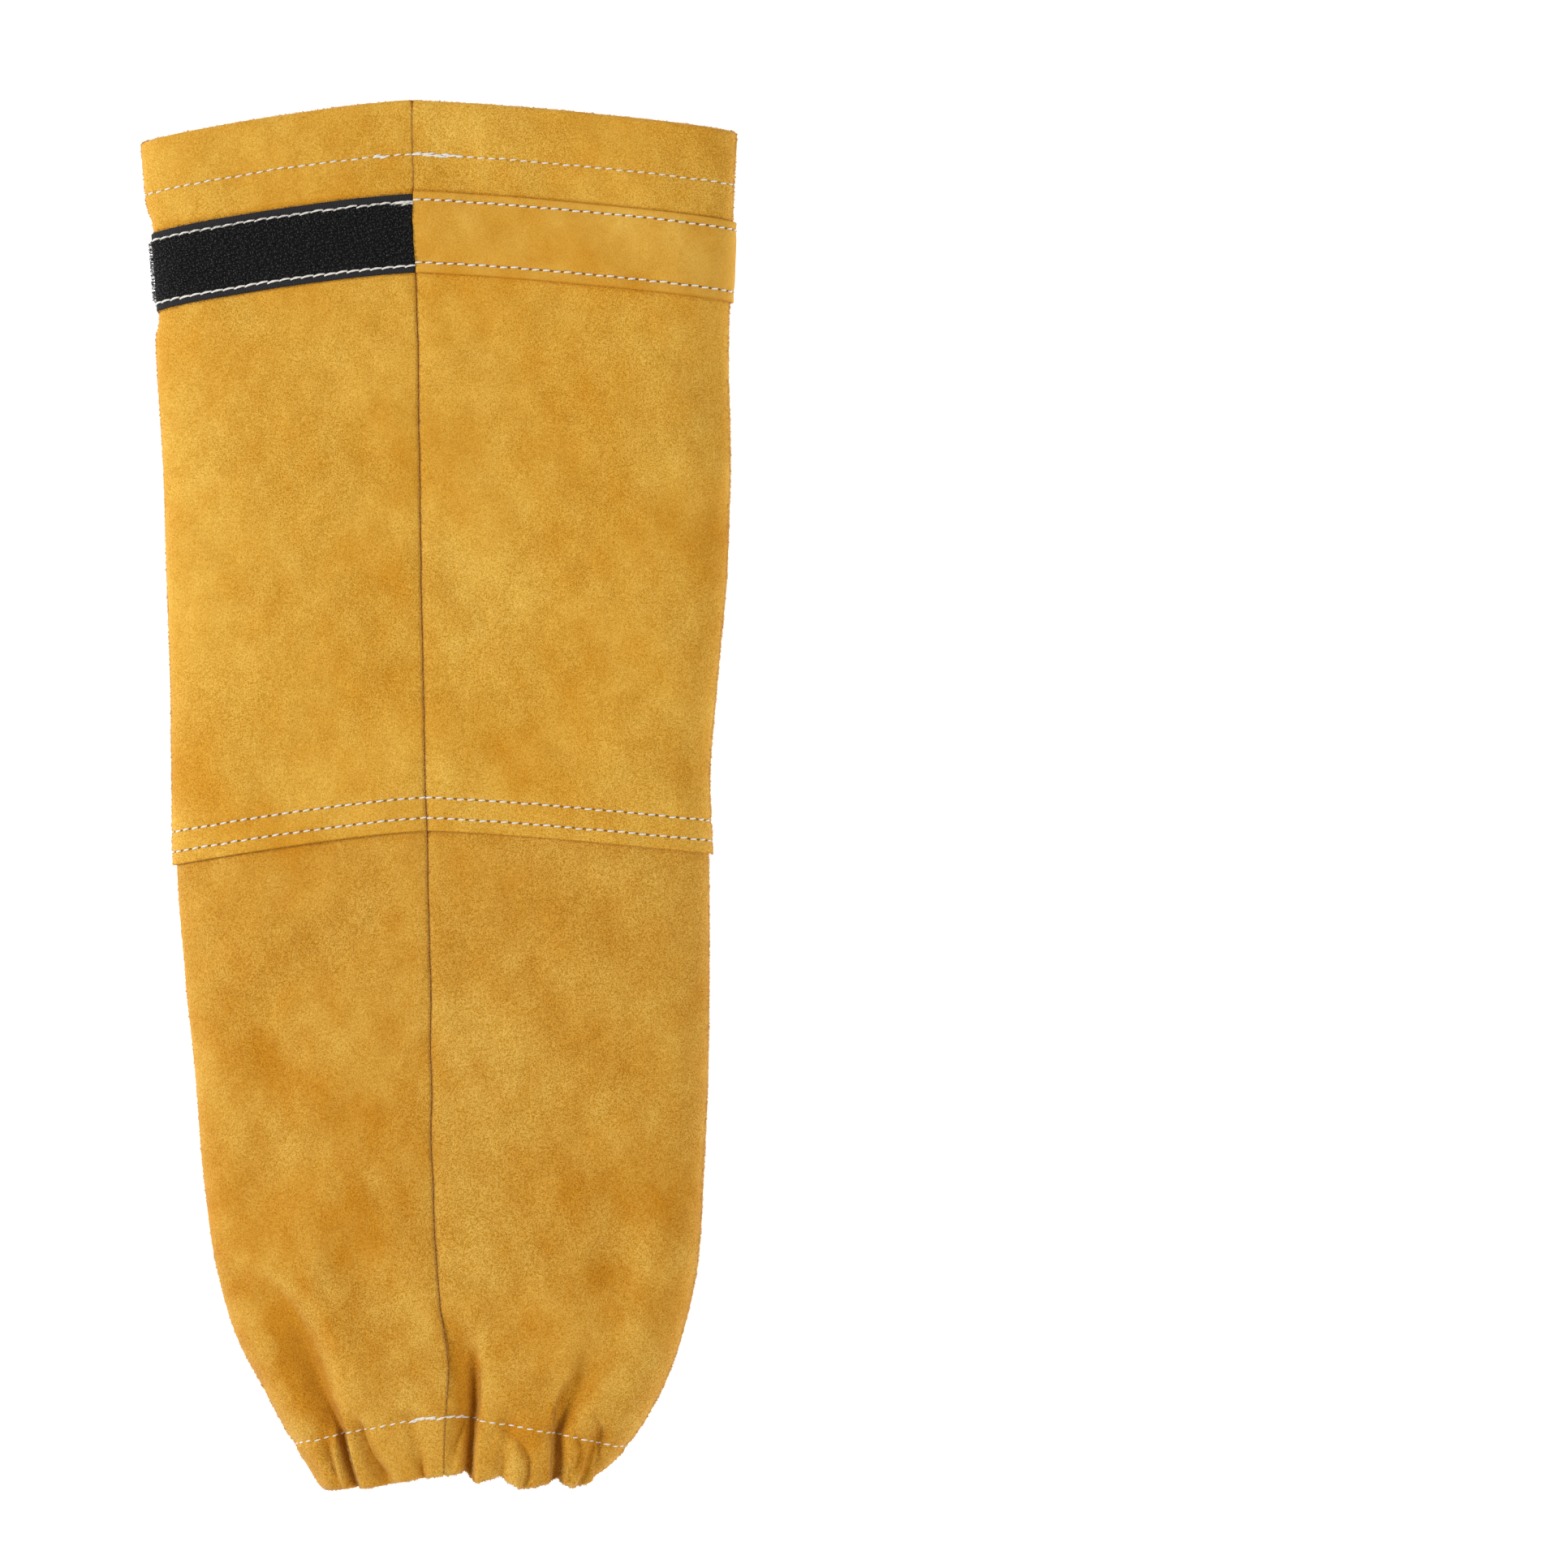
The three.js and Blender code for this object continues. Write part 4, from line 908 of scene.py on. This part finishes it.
# lower panel, turned in round the elastic at the cuff
lower = {"frontColumns": 116, "backColumns": 28, "firstColumn": 0.0092, "armSpacing": 4.4, "cuffSpacing": 1.3,
         "cuffStart": 436, "suede": {"tuftScale": 1.06, "contrast": 1.2, "tone": (0.92, 0.885, 0.88)}}
cuffRadius = leather + casingSlot / 2
lowerAlongs = sortedPlaces(
    evenly(lowerTop, lower["cuffStart"], lower["armSpacing"]),
    evenly(lower["cuffStart"], frontLength - cuffRadius - 0.4, lower["cuffSpacing"]), stitchLine, apart=0.5)
leafAlongs = np.linspace(casingTop, frontLength - 3.5, 8)
cuffRows = turnedRows(frontLength, -1, lowerDepth, casingSlot, leafAlongs, 10)[::-1]
lowerRows = np.concatenate([straightRows(lowerAlongs, lowerDepth, leather, cutStart=True), cuffRows])
lowerWall = buildWall(lowerRows, panelColumns(lower), hanging(lowerRows, lowerTop, casingTop))
lowerSuede = suedeMaterial("lowerSuede", **lower["suede"])
lowerPiece = wallPiece("lowerPanelSuede", lowerWall, lowerSuede, "split_leather", (3, 0))
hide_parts("lower_panel")

# leather band, from the seam over the right fold to the back
band = {"columns": 120, "rowSpacing": 1.3, "topStitch": 3.3, "bottomStitch": 4.0, "pitch": 4.1, "puff": 0.28,
        "pull": 0.16, "suede": {"tuftScale": 0.8, "contrast": 0.45, "tone": (0.985, 0.99, 1.1)}}
bandFace = -sleeve["gap"] - sleeve["bandLeather"]
bandSide = sheetColumns(stripShares(band["columns"]), sleeve["bandLeather"], seamRoll["bandRadius"])
bandStitches = (sleeve["bandTop"] + band["topStitch"], bandEnd - band["bottomStitch"])
bandFine = [np.array([-1.4, -0.6, 0, 0.6, 1.4]) + at for at in bandStitches]
bandAlongs = sortedPlaces(evenly(sleeve["bandTop"], bandEnd, band["rowSpacing"]), *bandFine, apart=0.4)
bandRows = straightRows(bandAlongs, bandFace, sleeve["bandLeather"], True, True)
bandPuff = band["puff"] * window(bandRows[:, 0], bandStitches[0], bandStitches[0] + 4,
                                 bandStitches[1] - 4, bandStitches[1])
bandRows[:, 1] -= bandPuff - band["pull"] * sum(bell((bandRows[:, 0] - at) / 1.1) for at in bandStitches)
bandWall = buildWall(bandRows, joinColumns(bandSide, None), np.full(len(bandRows), seamRoll["bandHang"]))
bandHoles = [needleHoles(bandWall, at, band["pitch"], 0.95) for at in bandStitches]
bandSuede = suedeMaterial("bandSuede", holeRows=bandHoles, **band["suede"])
bandPiece = wallPiece("leatherBandSuede", bandWall, bandSuede, "band_leather", (3, 3))
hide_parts("leather_band")

print("leather done")


tape = {"columns": 110, "rowSpacing": 1.25, "topStitch": 3.2, "bottomStitch": 2.6, "pitch": 4.4, "ribs": 0.66,
        "picks": 0.5, "tones": ((18, 18, 19), (42, 42, 45), (66, 66, 70)), "shadeUnderHooks": (6, 6, 6)}
tapeFace = -sleeve["gap"] - sleeve["tapeBase"]
tapeSide = sheetColumns(stripShares(tape["columns"]), sleeve["tapeBase"], seamRoll["tapeRadius"])
tapeStitchLines = (tapeTop + tape["topStitch"], bandEnd - tape["bottomStitch"])
tapeAlongs = sortedPlaces(evenly(tapeTop, bandEnd, tape["rowSpacing"]), *tapeStitchLines, apart=0.3)
tapeRows = straightRows(tapeAlongs, tapeFace, sleeve["tapeBase"], True, True)
tapeWall = buildWall(tapeRows, joinColumns(None, tapeSide), np.full(len(tapeRows), seamRoll["bandHang"]))
weave = Shader("tapeWeave", **{"Roughness": 0.8, "Specular IOR Level": 0.15})
across, down = weave.cut()
# picks are set off by half their spacing from rib to rib
picks = (down / tape["picks"] + 0.5 * (across / (2 * tape["ribs"])).fract()).ridges()
woven = (across / tape["ribs"]).ridges() * 0.75 + picks * 0.25
fleck = weave.noise(weave.place(), 900, 2.0, 0.6)
weaveStops = zip((0.1, 0.5, 1.0), [colour(*tone) for tone in tape["tones"]])
weaveTone = weave.ramp(woven * 0.7 + fleck * 0.3, *weaveStops)
pileHalf = sleeve["tapeWidth"] / 2 - sleeve["tapeSelvedge"]
# painted shade under the hook pile: the weave is darkened where the hooks stand
underPileShade = 1 - (down - (tapeTop + bandEnd) / 2).size().step(pileHalf - 0.3, pileHalf + 0.3)
weaveTone = weave.blend(underPileShade * 0.7, weaveTone, colour(*tape["shadeUnderHooks"]))
weave.feed(weave.surface, {"Base Color": weaveTone, "Normal": weave.bump(woven, 0.0003, 0.9)})
tapePiece = wallPiece("hookTapeWeave", tapeWall, weave.material, "hook_tape")
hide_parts("hook_tape")

# Hooks: each is a bent wire that leans to one side, rises from the tape and curls back over itself. Its path goes
# straight up for a share of its points, and then round a circle by the angle curl.
hooks = {"spacing": 1.12, "rowSpacing": 1.1, "scatter": 0.16, "height": 1.6, "straight": 0.2, "curl": 4.4,
         "curlRadius": 0.42, "radius": 0.105, "taper": (1.1, 1, 1, 1, 0.95, 0.9, 0.7),
         "tones": ((22, 22, 22), (46, 46, 44), (84, 82, 72))}
random = np.random.default_rng(5)
travelled, around = rowLookup(tapeWall, bandEnd - 15)
columnsOfHooks = np.arange(travelled[0] + 0.7, travelled[-1] - 0.4, hooks["spacing"])
pileEnds = tapeTop + sleeve["tapeSelvedge"] + 0.9, bandEnd - sleeve["tapeSelvedge"] - 0.4
hookAcross, hookDown = np.meshgrid(columnsOfHooks, np.arange(*pileEnds, hooks["rowSpacing"]))
hookAcross = hookAcross + (np.arange(len(hookAcross)) % 2)[:, None] * hooks["spacing"] / 2
hookAcross = (hookAcross + random.normal(0, hooks["scatter"], hookAcross.shape)).ravel()
hookDown = (hookDown + random.normal(0, hooks["scatter"], hookDown.shape)).ravel()
number = len(hookAcross)
bend = np.linspace(0, 1, len(hooks["taper"]))[None]
facing = random.uniform(0, 2 * math.pi, (number, 1))
size = (hooks["curlRadius"] + random.uniform(-0.08, 0.08, number))[:, None]
curl = np.clip((bend - hooks["straight"]) / (1 - hooks["straight"]), 0, 1) * hooks["curl"]
height = hooks["height"] * (1 + random.uniform(-0.12, 0.06, (number, 1)))
rise = np.minimum(bend / hooks["straight"], 1) * (height - size) + size * np.sin(curl)
out = size * (1 - np.cos(curl)) + random.normal(0, 0.1, (number, 1)) * bend
hookArounds = np.interp(hookAcross[:, None] + out * np.cos(facing), travelled, around)
centres = place(hookDown[:, None] + out * np.sin(facing), hookArounds, tapeFace + 0.1 - rise)
up = np.cross(centres[:, [-1]] - centres[:, [0]], centres[:, [2]] - centres[:, [0]])
up = up / np.maximum(np.linalg.norm(up, axis=-1, keepdims=True), 1e-6) + 0 * centres
radii = np.tile(hooks["radius"] * np.array(hooks["taper"]), (number, 1))
nylon = Shader("hookNylon", **{"Roughness": 0.34, "Specular IOR Level": 0.55})
nylonStops = zip((0.3, 0.55, 0.75), [colour(*tone) for tone in hooks["tones"]])
nylonTone = nylon.ramp(nylon.noise(nylon.place(), 700, 2.0, 0.6), *nylonStops)
nylon.feed(nylon.surface, {"Base Color": nylonTone})
meshPiece("hookTapeHooks", *tubes(centres, up, radii, 3), nylon.material, slot="hook_tape")

print("hook tape done")


# elastic in the casing at the cuff
elastic = {"rows": 13, "columns": 150, "ribs": 1.6, "picks": 0.9, "shade": (188, 184, 172),
           "white": (232, 229, 218)}
elasticMiddle, elasticHalf = frontLength - sleeve["casingHeight"] / 2, sleeve["elasticWidth"] / 2
elasticAlongs = np.linspace(elasticMiddle - elasticHalf, elasticMiddle + elasticHalf, elastic["rows"])
elasticDepth = lowerDepth + leather + sleeve["casingRoom"]
elasticRows = straightRows(elasticAlongs, elasticDepth, sleeve["elastic"], True, True)
elasticSide = {"share": np.concatenate([[0.0015], np.linspace(0.004, 0.5, elastic["columns"])])}
for key in ("offset", "down", "innerOffset", "innerDown", "allowance"):
    elasticSide[key] = 0 * elasticSide["share"]
elasticColumns = joinColumns(elasticSide, {key: values[:-1] for key, values in elasticSide.items()})
elasticWall = buildWall(elasticRows, elasticColumns, np.zeros(len(elasticRows)))
rubber = Shader("elasticWeave", **{"Roughness": 0.85, "Sheen Weight": 0.2})
across, down = rubber.cut()
knit = (down / elastic["ribs"]).ridges() * 0.7 + (across / elastic["picks"]).ridges() * 0.3
knitTone = rubber.ramp(knit, (0.0, colour(*elastic["shade"])), (1.0, colour(*elastic["white"])))
rubber.feed(rubber.surface, {"Base Color": knitTone, "Normal": rubber.bump(knit, 0.0003, 0.8)})
elasticPiece = wallPiece("cuffElasticWeave", elasticWall, rubber.material, "elastic")
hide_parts("cuff_elastic")

print("elastic done")


threadShader = Shader("sewingThread", **{
    "Base Color": thread["tone"], "Roughness": 0.6, "Specular IOR Level": 0.35, "Sheen Weight": 0.2})
twine = threadShader.noise(threadShader.place(), 5200, 1.5, 0.5, 0.5)
threadShader.feed(threadShader.surface, {"Normal": threadShader.bump(twine, 0.00006, 0.5)})

# each piece's rows, as the arguments of stitchRow
onUpper = {"wall": upperWall, "faceDepth": 0, "pitch": upper["pitch"]}
onBand = {"wall": bandWall, "faceDepth": bandFace, "pitch": band["pitch"]}
onTape = {"wall": tapeWall, "faceDepth": tapeFace - 0.1, "pitch": tape["pitch"], "long": 4.9, "scale": 1.08,
          "slant": 0.5, "lift": 0.9, "arch": 0.28}
stitchRows = {
    "hemStitches": [
        {**onUpper, "at": upper["hemStitch"], "seed": 31, "scale": 0.86, "lift": 0.35,
         "extra": [(0.8, 12.5, 3), (13.5, 18.5, 2), (-14.2, -11.6, 3)]},
        {**onUpper, "at": upper["hemStitch"], "seed": 32, "faceDepth": 2 * leather + sleeve["gap"], "scale": 0.9,
         "slant": -thread["slant"], "outwards": -1}],
    "lapStitches": [{**onUpper, "at": at, "seed": 41 + k} for k, at in enumerate(upper["lapStitches"])],
    "bandStitches": [{**onBand, "at": at, "seed": 51 + k} for k, at in enumerate(bandStitches)],
    "tapeStitches": [{**onTape, "at": tapeStitchLines[0], "seed": 61, "extra": [(-5, -1.5, 2)]},
                     {**onTape, "at": tapeStitchLines[1], "seed": 62}],
    "cuffStitches": [{"wall": lowerWall, "at": stitchLine, "faceDepth": lowerDepth, "pitch": 3.9, "long": 2.5,
                      "seed": 71, "scale": 0.85, "lift": 0.25, "extra": [(0.8, 11.5, 1), (-13.5, -1, 3)]}],
}
for name, rows in stitchRows.items():
    meshPiece(name, *joinShapes([stitchRow(**row) for row in rows]), threadShader.material)

print("stitches done")


nap = {"long": 0.85, "radius": 0.075, "lean": 0.8, "steepest": 0.36, "number": 9500, "rings": 2, "sides": 3,
       "dark": (205, 146, 48), "pale": (232, 184, 92)}


# Short fibres that stand out of the suede where it is seen edge on from above: round the folds, along the top
# and the cuff's edge, with three times as many round the turned edges.
def napFibres(name, wall, material, seed):
    random = np.random.default_rng(seed)
    outer, inner = wall["outer"], wall["inner"]
    a, b, c, d = outer[:-1, :-1], outer[1:, :-1], outer[1:, 1:], outer[:-1, 1:]
    normal = np.cross(c - a, d - b)
    area = np.linalg.norm(normal, axis=-1)
    normal = normal / np.maximum(area, 1e-9)[..., None]
    normal *= np.sign((normal * (a - inner[:-1, :-1])).sum(-1))[..., None]
    face = wall["rows"][:-1, 5] > -0.5
    face = face[:, None] & (wall["columns"]["allowance"][:-1] + wall["columns"]["down"][:-1] == 0)
    turned = 1 + 2 * (np.abs(wall["rows"][:-1, 5]) < 0.9)[:, None]
    weight = (area * face * turned * (np.abs(normal[..., 2]) < nap["steepest"])).ravel()
    picked = random.choice(len(weight), nap["number"], p=weight / weight.sum())
    u, v = random.uniform(0, 1, (2, nap["number"], 1))
    a, b, c, d, out = [grid.reshape(-1, 3)[picked] for grid in (a, b, c, d, normal)]
    root = (a * (1 - u) + b * u) * (1 - v) + (d * (1 - u) + c * u) * v
    return meshPiece(name, *bentFibres(root, out, random), material)


# Each fibre bends over from straight out towards a random side, with the square of its length.
def bentFibres(root, out, random):
    number = len(root)
    root, out = root[:, None], out[:, None] / np.linalg.norm(out, axis=-1)[:, None, None]
    side = random.normal(0, 1, out.shape)
    side -= (side * out).sum(-1, keepdims=True) * out
    side /= np.linalg.norm(side, axis=-1, keepdims=True)
    t = np.linspace(0, 1, nap["rings"])[None, :, None]
    long = nap["long"] * random.uniform(0.5, 1.2, (number, 1, 1))
    lean = nap["lean"] * random.uniform(0.2, 1.6, (number, 1, 1))
    centres = root + long * (out * (t - 0.15) + side * lean * t * t)
    radii = nap["radius"] * random.uniform(0.7, 1.3, (number, 1)) * (1 - 0.5 * t[..., 0])
    return tubes(centres, np.cross(out, side) + 0 * centres, radii, nap["sides"])


# fibres for each millimetre of the seam and of the tape's edges; the mat's depth and radius in millimetres, and
# its darker brown, painted shade of the seam's groove
fringe = {"seamNumber": 7, "edgeNumber": 5, "edgeLift": 0.7, "matDepth": 0.95, "matRadius": 0.3, "matStep": 1.2,
          "grooveShadeTone": (158, 96, 26)}


# Fibres that cross the long seam from the rolled edges on both sides, and fibres of the leather that reach over
# the edges of the hook tape.
def fringeFibres(name, material, seed):
    random = np.random.default_rng(seed)
    along = random.uniform(1, frontLength - 1, int(fringe["seamNumber"] * frontLength))
    along = along[(along < sleeve["bandTop"] - 1) | (along > bandEnd + 1)]
    face = np.where(along < sleeve["lapEdge"], 0, lowerDepth)
    side = random.choice([-1, 1], len(along))
    sine = random.uniform(0.45, 0.97, len(along))
    cosine = np.sqrt(1 - sine ** 2)
    radius = seamRoll["radius"] * rollScale(along)
    share = radius * (1 - sine) / (math.pi * 2 * 0.46 * sleeve["topWidth"])
    root = place(along, np.where(side > 0, share, 1 - share), face + radius * (1 - cosine))
    out = np.stack([-side * (0.4 + sine), random.uniform(-0.5, 0.5, len(along)), cosine], axis=-1)
    roots, outs = [root], [out]
    for edge, towards in ((tapeTop, 1), (bandEnd, -1)):
        number = int(fringe["edgeNumber"] * sleeve["topWidth"] / 2)
        away, around = random.uniform(0.1, 0.7, number), random.uniform(0.745, 0.997, number)
        roots.append(place(edge - towards * away, around, 0))
        across, lift = random.uniform(-0.5, 0.5, number), fringe["edgeLift"]
        outs.append(np.stack([across, 0 * across - towards * (1 - lift), 0 * across + lift], axis=-1))
    return meshPiece(name, *bentFibres(np.concatenate(roots), np.concatenate(outs), random), material)


# a brown tube that fills the seam's bottom, less deep towards the hem and the cuff; its darker brown is painted
# shade of the groove
def seamShadeFill(name, material, seed):
    random = np.random.default_rng(seed)
    shapes = []
    stretches = ((0.4, sleeve["bandTop"] - 0.5, 0), (bandEnd + 0.5, sleeve["lapEdge"], 0),
                 (sleeve["lapEdge"] + 0.5, frontLength - 1.5, lowerDepth))
    for start, end, face in stretches:
        along = evenly(start, end, fringe["matStep"])[None]
        atTop, nearTop, nearCuff = 1 - smooth(1, 6, along), 1 - smooth(30, 70, along), smooth(430, 500, along)
        depth = fringe["matDepth"] - 0.4 * nearCuff - 0.25 * nearTop - 0.3 * atTop
        centres = place(along, 0, face + depth + 0.05 * random.normal(0, 1, along.shape))
        up = np.array([0.0, 0, 1]) + 0 * centres
        shapes.append(tubes(centres, up, fringe["matRadius"] + 0.25 * atTop, 6))
    return meshPiece(name, *joinShapes(shapes), material)


fibreSuede = Shader("napFibres", **{"Roughness": 0.9, "Specular IOR Level": 0.1, "Sheen Weight": 0.2})
tint = fibreSuede.noise(fibreSuede.place(), 900, 2.0, 0.6)
fibreTone = fibreSuede.blend(tint.step(0.35, 0.65), colour(*nap["dark"]), colour(*nap["pale"]))
fibreSuede.feed(fibreSuede.surface, {"Base Color": fibreTone})
napFibres("upperNapFibres", upperWall, fibreSuede.material, 81)
napFibres("lowerNapFibres", lowerWall, fibreSuede.material, 82)
fringeFibres("seamFibres", fibreSuede.material, 83)
# the seam fill's darker brown is painted shade of the groove
grooveShadeShader = Shader("seamGrooveShade", **{
    "Base Color": colour(*fringe["grooveShadeTone"]), "Roughness": 0.95, "Specular IOR Level": 0.05})
seamShadeFill("seamShadeFill", grooveShadeShader.material, 84)

print("nap done")


# pale floor
floorShader = Shader("paleFloor", **{
    "Base Color": (studio["floorTone"],) * 3 + (1.0,), "Roughness": 0.8, "Specular IOR Level": 0.1,
    "Emission Color": (1.0, 1.0, 1.0, 1.0), "Emission Strength": studio["floorGlow"]})
floorMesh = bpy.data.meshes.new("paleFloor")
reach = studio["floorReach"]
floorMesh.from_pydata([(-reach, -reach, 0), (reach, -reach, 0), (reach, reach, 0), (-reach, reach, 0)], [],
                      [(0, 1, 2, 3)])
floorMesh.materials.append(floorShader.material)
floor = bpy.data.objects.new("paleFloor", floorMesh)
scene.collection.objects.link(floor)
